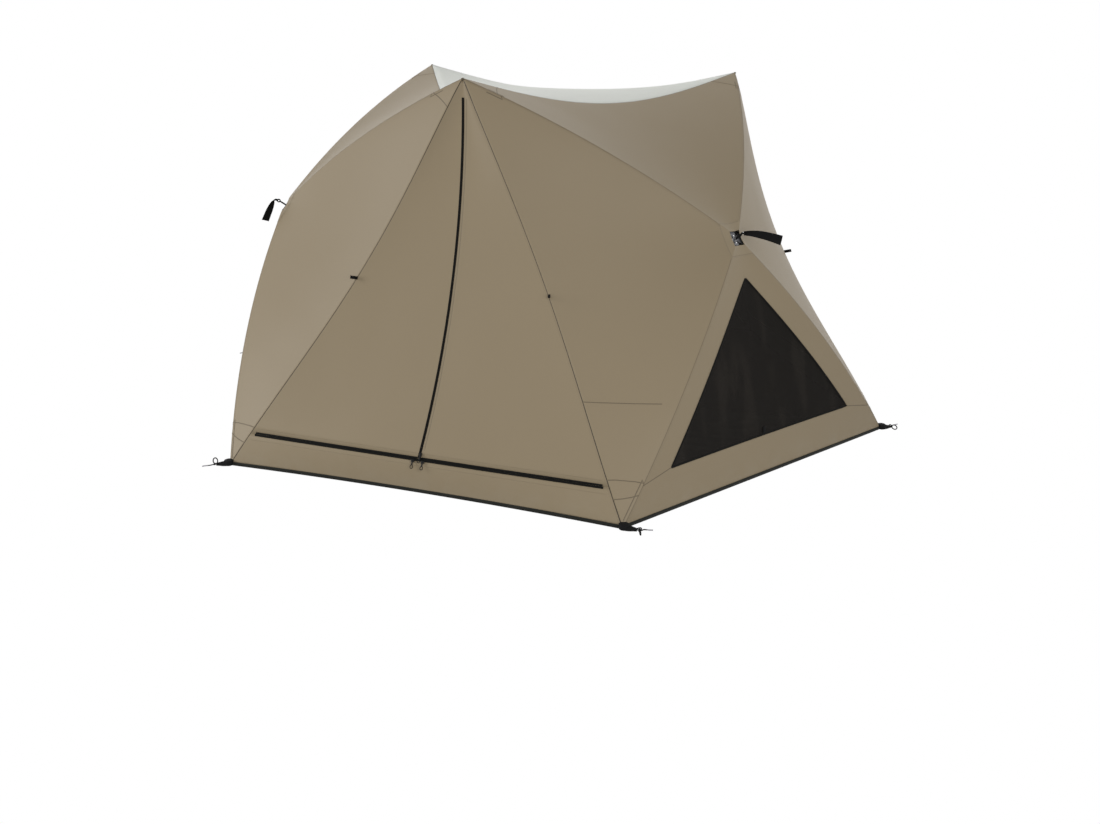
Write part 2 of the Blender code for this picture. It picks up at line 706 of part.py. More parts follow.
def zip_frame(drop, x):
    """A point on the door's face and its directions: right, up the door and outward."""
    step = 0.01
    here = door_point(drop, x)
    up = unit(door_point(drop - step, x) - door_point(drop + step, x))
    right = unit(door_point(drop, x + step) - door_point(drop, x - step))
    out = unit(np.cross(right, up))
    return here, (np.cross(up, out), up, out)


def slider_mesh(name, left, right, low, high, pull):
    """A zip slider's body with its pull hanging from it."""
    body = box((left, low, SLIDER_GAP), (right, high, SLIDER_GAP + SLIDER_SIZE[2]))
    middle = (left + right) / 2
    base = SLIDER_GAP + 0.003
    tab = box((middle - 0.0025, low - pull, base), (middle + 0.0025, low + 0.004, base + 0.0018))
    whole = combine(body, "UNION", [tab])
    whole.data.name = name
    return taken(whole)


def zip_centre():
    """The middle of the arc that the door's zip follows, in front of the door."""
    chord_middle = PEAK + unit(SILL - PEAK) * ZIP_CHORD / 2
    return chord_middle + DOOR_OUT * (ZIP_RADIUS - ZIP_DIP)


def sliders(look):
    """The door's own slider, whose origin is the arc's middle, and one for each bottom zip."""
    here, axes = zip_frame(LEAF_FOOT - 0.004, 0.0)
    mesh = slider_mesh("door_slider", -0.0006, SLIDER_SIZE[0], 0.002, 0.002 + SLIDER_SIZE[1], 0.034)
    centre = zip_centre()
    place = np.array(axes) @ (here - centre)
    mesh.transform(Matrix.Translation(Vector(place)))
    three("door_slider", DOORS, mesh, look, centre, axes)
    for side, word in ((1, "right"), (-1, "left")):
        here, axes = zip_frame(LEAF_FOOT + 0.004, side * BOTTOM_SLIDER_START)
        half = SLIDER_SIZE[1] / 2
        mesh = slider_mesh(f"bottom_slider_{word}", -half, half, -0.010, 0.002, 0.026)
        three(f"bottom_slider_{word}", DOORS, mesh, look, here, axes)


def build():
    for old in list(bpy.data.objects):
        bpy.data.objects.remove(old)
    thirds()
    khaki = material("canopy_fabric", (0.29, 0.25, 0.18), 0.85)
    side_panels(khaki)
    window_wall(khaki)
    door_surround(khaki)
    door_leaves(khaki)
    window_mesh(material("window_mesh", (0.02, 0.02, 0.02), 0.9))
    roof(material("roof_fabric", (0.72, 0.74, 0.72), 0.6))
    ground_sheet(material("ground_fabric", (0.03, 0.03, 0.03), 0.8))
    poles(material("pole_fibreglass", (0.03, 0.03, 0.03), 0.4))
    hubs(material("hub_metal", (0.35, 0.35, 0.36), 0.4, 1.0))
    straps(material("strap_webbing", (0.015, 0.015, 0.015), 0.85))
    boots(material("boot_plastic", (0.015, 0.015, 0.015), 0.6))
    sliders(material("zip_metal", (0.02, 0.02, 0.02), 0.4, 0.8))


build()
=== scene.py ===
# %% [markdown]
# # An instant tent
#
# This lesson dresses a six-sided instant tent. Its frame, joints and plain cloth walls come ready
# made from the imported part. Here the cloth is cut again as smooth taut sheets, and it gets seams,
# zips, netting, webbing and finishes.
#
# The tent repeats itself at every third of a turn, so each piece is drawn once, for the front door
# or for the window side on its right, and then copied twice.

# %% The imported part
import math

import bpy
import numpy as np
from mathutils import Matrix, Vector


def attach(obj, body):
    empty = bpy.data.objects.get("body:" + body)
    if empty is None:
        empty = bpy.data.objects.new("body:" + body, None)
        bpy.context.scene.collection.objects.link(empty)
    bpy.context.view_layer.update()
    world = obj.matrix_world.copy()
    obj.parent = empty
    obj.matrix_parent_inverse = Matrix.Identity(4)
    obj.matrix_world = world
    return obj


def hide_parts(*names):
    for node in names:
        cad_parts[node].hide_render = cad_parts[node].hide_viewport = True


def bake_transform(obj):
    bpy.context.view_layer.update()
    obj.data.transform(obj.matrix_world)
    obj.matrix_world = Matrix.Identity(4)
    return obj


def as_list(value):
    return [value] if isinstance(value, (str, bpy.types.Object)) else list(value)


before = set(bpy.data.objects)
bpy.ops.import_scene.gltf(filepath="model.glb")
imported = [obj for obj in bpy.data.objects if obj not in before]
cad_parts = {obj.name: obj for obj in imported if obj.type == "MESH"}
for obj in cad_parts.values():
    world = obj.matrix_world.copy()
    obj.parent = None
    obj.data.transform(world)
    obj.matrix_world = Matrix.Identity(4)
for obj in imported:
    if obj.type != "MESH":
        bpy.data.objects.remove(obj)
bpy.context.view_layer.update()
scene = bpy.context.scene
SIDES = ("right", "back", "left")
DOORS = ("front", "back_right", "back_left")
HALVES = ((1, "right"), (-1, "left"))

# %% [markdown]
# ## The camera
#
# The photograph was taken from a standing person's height, to the right of the front door. Its
# three angles and its place make a camera matrix: right, up and backwards as columns.

# %% The camera
CAMERA_PLACE = Vector((1.967, -5.382, 1.906))
CAMERA_TURN, CAMERA_DOWN, CAMERA_ROLL = (math.radians(a) for a in (18.88, 13.38, 0.82))
LENS, SENSOR_WIDTH, SHIFT = 35.80, 36.0, (-0.0138, -0.1107)


def camera_matrix():
    """The camera's place and its directions."""
    level = math.cos(CAMERA_DOWN)
    ahead = Vector((-math.sin(CAMERA_TURN) * level, math.cos(CAMERA_TURN) * level, 0))
    ahead.z = -math.sin(CAMERA_DOWN)
    right = ahead.cross(Vector((0, 0, 1))).normalized()
    up = right.cross(ahead)
    rolled = math.cos(CAMERA_ROLL) * right + math.sin(CAMERA_ROLL) * up
    turn = Matrix((rolled, rolled.cross(ahead), -ahead)).transposed()
    return Matrix.Translation(CAMERA_PLACE) @ turn.to_4x4()


bpy.ops.object.camera_add()
camera = bpy.context.object
camera.matrix_world = camera_matrix()
camera.data.sensor_width = SENSOR_WIDTH
camera.data.lens = LENS
camera.data.shift_x, camera.data.shift_y = SHIFT
camera.data.dof.use_dof = False
scene.camera = camera
print("camera at", tuple(round(v, 3) for v in camera.location))

# %% [markdown]
# ## Nodes
#
# The world and all finishes are built from nodes. These helpers add a node, set plain values on
# some of its inputs and link the others.

# %% Node helpers
def connect(tree, node, links, values):
    """Plain values on some inputs of a node, and links into others."""
    for socket, value in values.items():
        node.inputs[socket].default_value = value
    for socket, source in links.items():
        tree.links.new(source, node.inputs[socket])
    return node


def add_node(tree, kind, links, **values):
    """A new node with its links and values."""
    return connect(tree, tree.nodes.new(kind), links, values)


def calc(tree, operation, *terms):
    """A Math node on sockets or plain numbers."""
    made = tree.nodes.new("ShaderNodeMath")
    made.operation = operation
    for i, term in enumerate(terms):
        if isinstance(term, (int, float)):
            made.inputs[i].default_value = term
        else:
            tree.links.new(term, made.inputs[i])
    return made.outputs[0]


def remap(tree, value, low, high, to_low=0.0, to_high=1.0):
    """A smooth step of a value between two limits."""
    limits = {"From Min": low, "From Max": high, "To Min": to_low, "To Max": to_high}
    made = add_node(tree, "ShaderNodeMapRange", {"Value": value}, **limits)
    made.interpolation_type = "SMOOTHSTEP"
    return made.outputs["Result"]


def mix_colour(tree, share, first, second):
    """A mix of two colours, each a socket or a triple, by a share that is a socket."""
    made = tree.nodes.new("ShaderNodeMix")
    made.data_type = "RGBA"
    tree.links.new(share, made.inputs[0])
    for socket, term in ((6, first), (7, second)):
        if isinstance(term, tuple):
            made.inputs[socket].default_value = (*term, 1.0)
        else:
            tree.links.new(term, made.inputs[socket])
    return made.outputs[2]


def noise(tree, place, scale, detail, **values):
    """Smooth noise at a place."""
    values.update(Scale=scale, Detail=detail)
    return add_node(tree, "ShaderNodeTexNoise", {"Vector": place}, **values).outputs["Fac"]


def bump(tree, height, strength, distance, under=None):
    """Normals from a height, laid over other normals."""
    links = {"Height": height, "Normal": under} if under else {"Height": height}
    made = add_node(tree, "ShaderNodeBump", links, Strength=strength, Distance=distance)
    return made.outputs["Normal"]


print("node helpers ready")

# %% [markdown]
# ## Light and background
#
# The photograph is a soft studio picture on white. Large lamps give an even light without hard
# edges. The world is white only for the camera and in reflections, and a plain grey for the light
# that it gives, so the white background doesn't wash out the cloth.

# %% The world
WORLD_LIGHT, BACKGROUND = 0.30, 1.0


def make_world():
    """A grey world that looks white."""
    world = bpy.data.worlds.new("studio")
    world.use_nodes = True
    tree = world.node_tree
    rays = tree.nodes.new("ShaderNodeLightPath").outputs
    seen = calc(tree, "MAXIMUM", rays["Is Camera Ray"], rays["Is Glossy Ray"])
    seen = calc(tree, "MAXIMUM", seen, rays["Is Transmission Ray"])
    levels = {"To Min": WORLD_LIGHT, "To Max": BACKGROUND}
    strength = add_node(tree, "ShaderNodeMapRange", {"Value": seen}, **levels).outputs["Result"]
    connect(tree, tree.nodes["Background"], {"Strength": strength}, {"Color": (1, 1, 1, 1)})
    scene.world = world
    print("world light", WORLD_LIGHT)


make_world()
scene.view_settings.view_transform = "Standard"

# %% The lamps
# Each lamp: place, width, height and power in watts.
LAMPS = {
    "left_front": ((-5.1, -3.6, 2.25), 1.5, 3.0, 134),
    "front": ((1.0, -6.4, 2.0), 3.0, 3.0, 26),
    "front_right": ((4.2, -5.0, 2.2), 3.0, 3.0, 105),
    "right_back": ((4.8, 3.0, 2.6), 3.0, 3.0, 30),
    "back": ((-4.6, 4.0, 2.4), 3.0, 3.0, 30),
    "roof": ((0.0, 0.3, 3.0), 1.2, 1.2, 5.5),
}
LAMP_TARGET = Vector((0, 0, 0.7))


def add_lamp(name, place, width, height, power):
    """An area lamp that looks at the tent's middle."""
    bpy.ops.object.light_add(type="AREA", location=place)
    lamp = bpy.context.object
    lamp.name = f"lamp_{name}"
    lamp.data.shape = "RECTANGLE"
    lamp.data.size, lamp.data.size_y = width, height
    lamp.data.energy = power
    lamp.rotation_mode = "QUATERNION"
    lamp.rotation_quaternion = (LAMP_TARGET - Vector(place)).to_track_quat("-Z", "Y")


for lamp_name, settings in LAMPS.items():
    add_lamp(lamp_name, *settings)
print(len(LAMPS), "lamps")

# %% [markdown]
# ## Shapes of the cloth
#
# Nothing on the tent is flat. The poles bow the cloth out along the four ridges of a window side,
# tension draws the seams in between the peaks and the ground, and the door hangs a little deeper
# than its seams. So each sheet is a formula: two shares, across and up, give a point in metres.

# %% Driving sizes
# The shell: its peaks, doors and hubs, and how far each edge is drawn in
PEAK_HEIGHT, PEAK_RADIUS = 1.700, 1.0245
DOOR_APOTHEM, DOOR_HALF = 1.550, 0.910
HUB_RISE, HUB_OPENING = 0.343, 0.036
SEAM_DIP, ZIP_DIP, ROOF_DIP, ROOF_MIDDLE = 0.118, 0.138, 0.134, 0.600
RIDGE_BOW, BASE_ARCH = 0.052, 0.030
SEAM_LOW, SEAM_ROUND, EDGE_FADE, HOLLOW_SHARE = 0.9, 1.5, 1.6, 0.5
FLOOR, CLOTH = 0.0025, 0.0008
# The door: shares of the way down from the peak, and half widths of the doorway
ZIP_END = 0.920
LEAF_TOP, LEAF_FOOT = 0.047, 0.915
FOLD_TOP, FOLD_FOOT = 0.012, 0.745
# The window: shares of the way from the ground to the hub, and half widths
WINDOW_FOOT, WINDOW_TOP = 0.165, 0.822
WINDOW_HALF, WINDOW_TIP = 0.600, 0.004
UP = np.array([0.0, 0.0, 1.0])


def unit(v):
    """A direction of length 1."""
    return np.asarray(v, float) / np.linalg.norm(v)


def radial(azimuth):
    """The level direction at an azimuth in degrees."""
    angle = math.radians(azimuth)
    return np.array([math.cos(angle), math.sin(angle), 0.0])


# %% The front door and the side on its right
FRONT, FRONT_RIGHT = radial(-90), radial(0)
PEAK = PEAK_RADIUS * FRONT + PEAK_HEIGHT * UP
SILL = DOOR_APOTHEM * FRONT
DOOR_OUT = unit(np.cross(FRONT_RIGHT, PEAK - SILL))
DOOR_DROP = np.linalg.norm(PEAK - SILL)
SIDE_OUT, SIDE_RIGHT = radial(-30), radial(60)
SIDE_HALF = PEAK_RADIUS * math.sin(math.pi / 3)
SIDE_FOOT = SIDE_OUT * (DOOR_APOTHEM * 0.5 + DOOR_HALF * math.sin(math.pi / 3))
SIDE_HEAD = SIDE_OUT * PEAK_RADIUS * 0.5 + PEAK_HEIGHT * UP
SIDE_UP = unit(SIDE_HEAD - SIDE_FOOT)
SIDE_NORMAL = np.cross(SIDE_RIGHT, SIDE_UP)
HUB = (SIDE_FOOT + SIDE_HEAD) / 2 + HUB_RISE * SIDE_NORMAL
LOWER_LEFT = SILL + DOOR_HALF * FRONT_RIGHT
LOWER_RIGHT = LOWER_LEFT + 2 * (SIDE_FOOT - LOWER_LEFT)
UPPER_LEFT = PEAK
UPPER_RIGHT = SIDE_HEAD + SIDE_HALF * SIDE_RIGHT


def third_turn(third, size=4):
    """The turn from the front third to another."""
    return Matrix.Rotation(third * 2 * math.pi / 3, size, "Z")


def turned(point, third):
    """A point of the front third, turned to another third."""
    return np.array(third_turn(third, 3) @ Vector(point))


NEXT_DOOR_OUT = turned(DOOR_OUT, 1)
print("hub at", HUB.round(3), "side", round(2 * SIDE_HALF, 3), "m wide")


# %% The door's surface
def seam_dip(drop):
    """How far a door's side seam is drawn in, at a share of the way down from the peak."""
    return SEAM_DIP * max(math.sin(math.pi * max(drop, 0.0) ** SEAM_LOW), 0.0) ** SEAM_ROUND


ZIP_CHORD = ZIP_END * DOOR_DROP
ZIP_RADIUS = (ZIP_CHORD**2 / 4 + ZIP_DIP**2) / (2 * ZIP_DIP)


def zip_dip(drop):
    """How far the door's middle is drawn in: a round arc from the peak to the foot of the zip."""
    along = drop * DOOR_DROP - ZIP_CHORD / 2
    if abs(along) >= ZIP_CHORD / 2:
        return 0.0
    return math.sqrt(ZIP_RADIUS**2 - along**2) - (ZIP_RADIUS - ZIP_DIP)


def door_point(drop, x):
    """A point of the front door's outer face, x metres right of the zip."""
    across = min((x / (DOOR_HALF * drop)) ** 2, 1.0) if drop > 0 else 1.0
    dip = seam_dip(drop) * across + zip_dip(drop) * (1 - across)
    below = max(drop - LEAF_FOOT, 0.0) / (1 - LEAF_FOOT)
    arch = BASE_ARCH * (1 - across) * below**2
    flat = PEAK + (SILL - PEAK) * drop + FRONT_RIGHT * x
    return flat - DOOR_OUT * dip - FRONT * arch


def fold_x(drop):
    """Half the doorway's width: the straight line that each leaf folds back on."""
    share = (drop - LEAF_TOP) / (LEAF_FOOT - LEAF_TOP)
    return FOLD_TOP + (FOLD_FOOT - FOLD_TOP) * share


# %% A window side's surface
def ridge(corner, share):
    """The cloth over a pole, from a corner (0) to the hub (1)."""
    along = unit(HUB - corner)
    out = unit(SIDE_NORMAL - (SIDE_NORMAL @ along) * along)
    return corner + (HUB - corner) * share + out * RIDGE_BOW * 4 * share * (1 - share)


PANELS = {
    "bottom": (LOWER_LEFT, LOWER_RIGHT),
    "right": (LOWER_RIGHT, UPPER_RIGHT),
    "top": (UPPER_RIGHT, UPPER_LEFT),
    "left": (UPPER_LEFT, LOWER_LEFT),
}


def edge_dip(panel, v):
    """How a panel's outer edge is drawn away from the straight line between its corners."""
    if panel == "top":
        return -UP * ROOF_DIP * math.sin(math.pi * v)
    if panel == "right":
        return -NEXT_DOOR_OUT * seam_dip(1 - v)
    if panel == "left":
        return -DOOR_OUT * seam_dip(v)
    return np.zeros(3)


def panel_point(panel, u, v):
    """A point of a panel's outer face, u up from its outer edge to the hub and v along the edge."""
    start, end = PANELS[panel]
    out = unit(np.cross(end - start, HUB - start))
    ruled = ridge(start, u) * (1 - v) + ridge(end, u) * v
    hollow = HOLLOW_SHARE * RIDGE_BOW * 4 * u * (1 - u) * 4 * v * (1 - v)
    return ruled - out * hollow + edge_dip(panel, v) * (1 - u) ** EDGE_FADE


def window_point(u, x):
    """A point of the bottom panel, x metres right of its middle."""
    return panel_point("bottom", u, 0.5 + x / (2 * SIDE_HALF * (1 - u)))


def window_edge(u):
    """Half the window's width at a height."""
    share = (u - WINDOW_FOOT) / (WINDOW_TOP - WINDOW_FOOT)
    return WINDOW_HALF + (WINDOW_TIP - WINDOW_HALF) * share


# %% The roof's surface
def roof_point(a, b, c):
    """A point of the roof sheet by its shares of the three peaks."""
    flat = a * turned(PEAK, 0) + b * turned(PEAK, 1) + c * turned(PEAK, 2)
    sag = (math.sin(math.pi * a) + math.sin(math.pi * b) + math.sin(math.pi * c)) / 2
    return flat - UP * ROOF_DIP * (sag - ROOF_MIDDLE * 27 * a * b * c)


print("roof middle at", round(roof_point(1 / 3, 1 / 3, 1 / 3)[2], 3), "m")

# %% [markdown]
# ## Finishes
#
# Coated tent cloth is a fine plain weave. Close up it shows threads, with painted shade in the
# hollows between them, and at its seams a crease with a painted shadow line along it, rows of
# stitches and small puckers. These effects are node groups, so each kind of cloth places them with
# its own values. Every sheet carries its flat pattern in metres as its UV map, and an attribute
# named
# seam: distance from the nearest seam, place along it and the seam's strength.

# %% Node groups and materials
def new_group(name, inputs, outputs):
    """An empty node group with float or vector inputs and float outputs."""
    tree = bpy.data.node_groups.new(name, "ShaderNodeTree")
    for socket, kind in inputs.items():
        tree.interface.new_socket(socket, in_out="INPUT", socket_type=f"NodeSocket{kind}")
    for socket in outputs:
        tree.interface.new_socket(socket, in_out="OUTPUT", socket_type="NodeSocketFloat")
    return tree, tree.nodes.new("NodeGroupInput").outputs, tree.nodes.new("NodeGroupOutput").inputs


def place_group(tree, group, links, **values):
    """A node group placed in a material."""
    made = tree.nodes.new("ShaderNodeGroup")
    made.node_tree = group
    return connect(tree, made, links, values).outputs


def new_material(name, values):
    """A material, its node tree and its shader with these values."""
    made = bpy.data.materials.new(name)
    made.use_nodes = True
    tree = made.node_tree
    return made, tree, connect(tree, tree.nodes["Principled BSDF"], {}, values)


def shade_of(colour, share):
    """A darker or paler shade of a colour."""
    return tuple(share * part for part in colour)


# %% A plain weave
def weave_group():
    """Warp and weft threads that pass over each other in turn."""
    inputs = {"Flat": "Vector", "Thread": "Float"}
    tree, given, result = new_group("plain_weave", inputs, ("Height",))
    flat = add_node(tree, "ShaderNodeSeparateXYZ", {"Vector": given["Flat"]})
    waves = []
    for axis in ("X", "Y"):
        turns = calc(tree, "DIVIDE", flat.outputs[axis], given["Thread"])
        waves.append(calc(tree, "SINE", calc(tree, "MULTIPLY", turns, math.pi)))
    over = calc(tree, "GREATER_THAN", calc(tree, "MULTIPLY", *waves), 0.0)
    warp, weft = (calc(tree, "ABSOLUTE", wave) for wave in waves)
    upper = calc(tree, "MULTIPLY", over, calc(tree, "SUBTRACT", warp, weft))
    tree.links.new(calc(tree, "ADD", weft, upper), result["Height"])
    return tree


# %% Seams and their stitches
STITCH_PITCH, STITCH_LENGTH = 0.0034, 0.0026
STITCH_ROWS, STITCH_EDGE = (0.0045, 0.0090), (0.0003, 0.0007)
CREASE_EDGE, PUCKER_EDGE = (0.0008, 0.0024), (0.004, 0.030)
PUCKER_SCALE, PUCKER_HEIGHT, STITCH_HEIGHT = 55.0, 0.6, 0.5


def seam_group():
    """A seam's crease and painted shadow line, its stitches, and their height with puckers."""
    tree, given, result = new_group("seam", {"Seam": "Vector"}, ("CreaseShadow", "Stitch", "Height"))
    seam = add_node(tree, "ShaderNodeSeparateXYZ", {"Vector": given["Seam"]})
    away, along, strength = (seam.outputs[axis] for axis in ("X", "Y", "Z"))
    off = calc(tree, "ABSOLUTE", away)
    sewn = calc(tree, "GREATER_THAN", strength, 0.0)
    near = remap(tree, off, *CREASE_EDGE, 1.0, 0.0)
    beat = calc(tree, "FRACT", calc(tree, "DIVIDE", along, STITCH_PITCH))
    dash = calc(tree, "LESS_THAN", beat, STITCH_LENGTH / STITCH_PITCH)
    rows = []
    for row in STITCH_ROWS:
        gap = calc(tree, "SUBTRACT", away, calc(tree, "MULTIPLY", sewn, row))
        rows.append(remap(tree, calc(tree, "ABSOLUTE", gap), *STITCH_EDGE, 1.0, 0.0))
    stitch = calc(tree, "MULTIPLY", calc(tree, "MAXIMUM", *rows), dash)
    waves = noise(tree, given["Seam"], PUCKER_SCALE, 1.0)
    pucker = calc(tree, "MULTIPLY", waves, remap(tree, off, *PUCKER_EDGE, 1.0, 0.0))
    pucker = calc(tree, "MULTIPLY", pucker, PUCKER_HEIGHT)
    raised = calc(tree, "ADD", calc(tree, "MULTIPLY", stitch, STITCH_HEIGHT), pucker)
    # Painted shadow: a dark line along the seam's crease, as dark as the seam's strength.
    crease_shadow = calc(tree, "MULTIPLY", near, calc(tree, "MAXIMUM", strength, 0.0))
    tree.links.new(crease_shadow, result["CreaseShadow"])
    tree.links.new(stitch, result["Stitch"])
    tree.links.new(calc(tree, "SUBTRACT", raised, near), result["Height"])
    return tree


# %% Dust and uneven dye
DUST_HEIGHT = 0.16


def wear_group():
    """A mask of dust near the ground, a slow unevenness of the dye, and soft slack."""
    tree, given, result = new_group("wear", {"Place": "Vector"}, ("Dust", "Shade", "Slack"))
    place = given["Place"]
    height = add_node(tree, "ShaderNodeSeparateXYZ", {"Vector": place}).outputs["Z"]
    low = remap(tree, height, 0.0, DUST_HEIGHT, 1.0, 0.0)
    blotch = remap(tree, noise(tree, place, 14.0, 4.0), 0.35, 0.75)
    tree.links.new(calc(tree, "MULTIPLY", low, blotch), result["Dust"])
    tree.links.new(noise(tree, place, 1.7, 3.0), result["Shade"])
    tree.links.new(noise(tree, place, 2.6, 1.0, Roughness=0.3), result["Slack"])
    return tree


WEAVE, SEAM, WEAR = weave_group(), seam_group(), wear_group()
print("node groups:", [g.name for g in bpy.data.node_groups])


# %% Cloth
DUST_COLOUR = (0.42, 0.38, 0.31)


def cloth(name, colour, thread, roughness, sheen=0.1, dust=0.12, shine=0.3, slack=0.0):
    """Woven cloth with seams. Painted shade darkens the hollows between its threads, and a painted
    shadow line runs along each seam's crease. The flat pattern and the seams come with each sheet.
    """
    values = {"Roughness": roughness, "Specular IOR Level": shine, "Sheen Weight": sheen}
    made, tree, shader = new_material(name, values)
    seam = tree.nodes.new("ShaderNodeAttribute")
    seam.attribute_name = "seam"
    flat = tree.nodes.new("ShaderNodeUVMap").outputs["UV"]
    place = tree.nodes.new("ShaderNodeTexCoord").outputs["Object"]
    weave = place_group(tree, WEAVE, {"Flat": flat}, Thread=thread)
    sewn = place_group(tree, SEAM, {"Seam": seam.outputs["Vector"]})
    wear = place_group(tree, WEAR, {"Place": place})
    base = colour
    for mask, share, tint in (
        (remap(tree, wear["Shade"], 0.3, 0.7), 0.08, shade_of(colour, 0.80)),
        # Painted shade: the hollows between the threads darker.
        (calc(tree, "SUBTRACT", 1.0, weave["Height"]), 0.10, shade_of(colour, 0.70)),
        (wear["Dust"], dust, DUST_COLOUR),
        (sewn["Stitch"], 0.50, shade_of(colour, 0.55)),
        # Painted shadow: the seam's crease darkened almost to black.
        (sewn["CreaseShadow"], 0.95, shade_of(colour, 0.10)),
    ):
        base = mix_colour(tree, calc(tree, "MULTIPLY", mask, share), base, tint)
    hollows = bump(tree, wear["Slack"], 1.0, slack)
    threads = bump(tree, weave["Height"], 0.35, 0.00012, hollows)
    folds = bump(tree, sewn["Height"], 0.6, 0.0009, threads)
    connect(tree, shader, {"Base Color": base, "Normal": folds}, {})
    return made


CANOPY = cloth("canopy_cloth", (0.318, 0.253, 0.162), 0.0004, 0.48, sheen=0.03, slack=0.012)
PATCH = cloth("patch_cloth", (0.325, 0.261, 0.170), 0.0004, 0.48, sheen=0.03)
PEAK_CLOTH = cloth("peak_cloth", (0.190, 0.160, 0.110), 0.0004, 0.62)
# Painted shade: the canopy's cloth in a darker copy, for the shade along its sewn folds.
SHADED_FOLD = cloth("fold_cloth_shaded", (0.235, 0.188, 0.122), 0.0004, 0.55, sheen=0.0)
# Painted light: the roof's white is paler than the cloth's own, standing in for light from above.
LIT_ROOF = cloth("roof_cloth_lit", (0.86, 0.88, 0.82), 0.0004, 0.55, dust=0.05, slack=0.012)
GROUND = cloth("ground_cloth", (0.028, 0.028, 0.029), 0.0008, 0.50, sheen=0.0)
HEM = cloth("hem_cloth", (0.018, 0.019, 0.016), 0.0010, 0.60, sheen=0.0, dust=0.04, shine=0.12)
MATT = {"sheen": 0.0, "dust": 0.0}
COATING = cloth("black_coating", (0.016, 0.016, 0.016), 0.0004, 0.60, shine=0.1, **MATT)
WEBBING = cloth("strap_webbing", (0.006, 0.006, 0.006), 0.0016, 0.80, shine=0.12, **MATT)
TAPE = cloth("zip_tape", (0.007, 0.007, 0.006), 0.0007, 0.80, shine=0.12, **MATT)
print("cloths made")


# %% Netting
def netting(name, colour, pitch, wire):
    """Fine mesh: threads with open holes between them."""
    made, tree, shader = new_material(name, {"Roughness": 0.8, "Specular IOR Level": 0.15})
    flat = tree.nodes.new("ShaderNodeUVMap").outputs["UV"]
    axes = add_node(tree, "ShaderNodeSeparateXYZ", {"Vector": flat}).outputs
    threads = []
    for axis in ("X", "Y"):
        beat = calc(tree, "FRACT", calc(tree, "DIVIDE", axes[axis], pitch))
        threads.append(calc(tree, "LESS_THAN", beat, wire))
    stretch = {"Scale": (3.0, 0.7, 1.0), "Rotation": (0, 0, 0.3)}
    drawn = add_node(tree, "ShaderNodeMapping", {"Vector": flat}, **stretch)
    folds = noise(tree, drawn.outputs["Vector"], 3.0, 3.0)
    # Painted highlight: the net paler on the crests of its folds.
    base = mix_colour(tree, remap(tree, folds, 0.50, 0.64), colour, shade_of(colour, 1.75))
    links = {"Alpha": calc(tree, "MAXIMUM", *threads), "Base Color": base}
    connect(tree, shader, links | {"Normal": bump(tree, folds, 0.5, 0.004)}, {})
    return made


# %% Metal, plastic and glass fibre
def hard(name, colour, roughness, metallic=0.0, speckle=0.0, grain=0.0015, coat=0.0, shine=0.3):
    """A hard finish with a fine uneven grain."""
    values = {"Metallic": metallic, "Coat Weight": coat, "Specular IOR Level": shine}
    made, tree, shader = new_material(name, values)
    place = tree.nodes.new("ShaderNodeTexCoord").outputs["Object"]
    grains = noise(tree, place, 1 / grain, 3.0)
    spots = calc(tree, "MULTIPLY", remap(tree, grains, 0.42, 0.62), speckle)
    links = {
        "Base Color": mix_colour(tree, spots, colour, shade_of(colour, 0.25)),
        "Roughness": remap(tree, grains, 0.3, 0.7, roughness * 0.85, roughness * 1.15),
        "Normal": bump(tree, grains, 0.3, 0.0002),
    }
    connect(tree, shader, links, {})
    return made


NET = netting("window_net", (0.014, 0.012, 0.010), 0.0011, 0.46)
HUB_METAL = hard("hub_metal", (0.26, 0.26, 0.27), 0.55, metallic=0.7, speckle=0.9, grain=0.0022)
BRIGHT_METAL = hard("bright_metal", (0.75, 0.75, 0.76), 0.25, metallic=1.0)
BLACK_METAL = hard("black_metal", (0.007, 0.007, 0.007), 0.55, shine=0.2)
PLASTIC = hard("black_plastic", (0.007, 0.007, 0.007), 0.75, shine=0.12)
PALE_TIP = hard("pale_tip", (0.45, 0.44, 0.48), 0.50, grain=0.0006)
FIBREGLASS = hard("glass_fibre", (0.035, 0.035, 0.036), 0.30, coat=0.4)
# Painted light: the liner's grey is made paler to make up for the shade in the hollow behind the
# hub.
LIT_LINER = hard("grey_liner_lit", (0.34, 0.34, 0.33), 0.85, speckle=0.5, grain=0.0022)
CORD = hard("cord_sheath", (0.008, 0.008, 0.008), 0.80, grain=0.0006, shine=0.15)
print(len(bpy.data.materials), "materials")

# %% [markdown]
# ## Making a sheet
#
# A sheet starts as a grid primitive. A formula then moves each of its points, and gives the same
# point's place in the flat pattern. Solidify turns the finished surface into real cloth whose
# inner face has the black coating.

# %% Sheet helpers
def pick(*pieces):
    """Selects only these pieces. The last one is active."""
    for item in list(bpy.context.selected_objects):
        item.select_set(False)
    for item in pieces:
        item.select_set(True)
        bpy.context.view_layer.objects.active = item


def named(piece, name):
    """Gives a piece and its mesh one name."""
    piece.name = piece.data.name = name
    return piece


def lay_flat(piece, layer, pattern):
    """Writes the flat pattern: a place on it for each point of the mesh."""
    for loop in piece.data.loops:
        layer.data[loop.index].uv = pattern[loop.vertex_index]


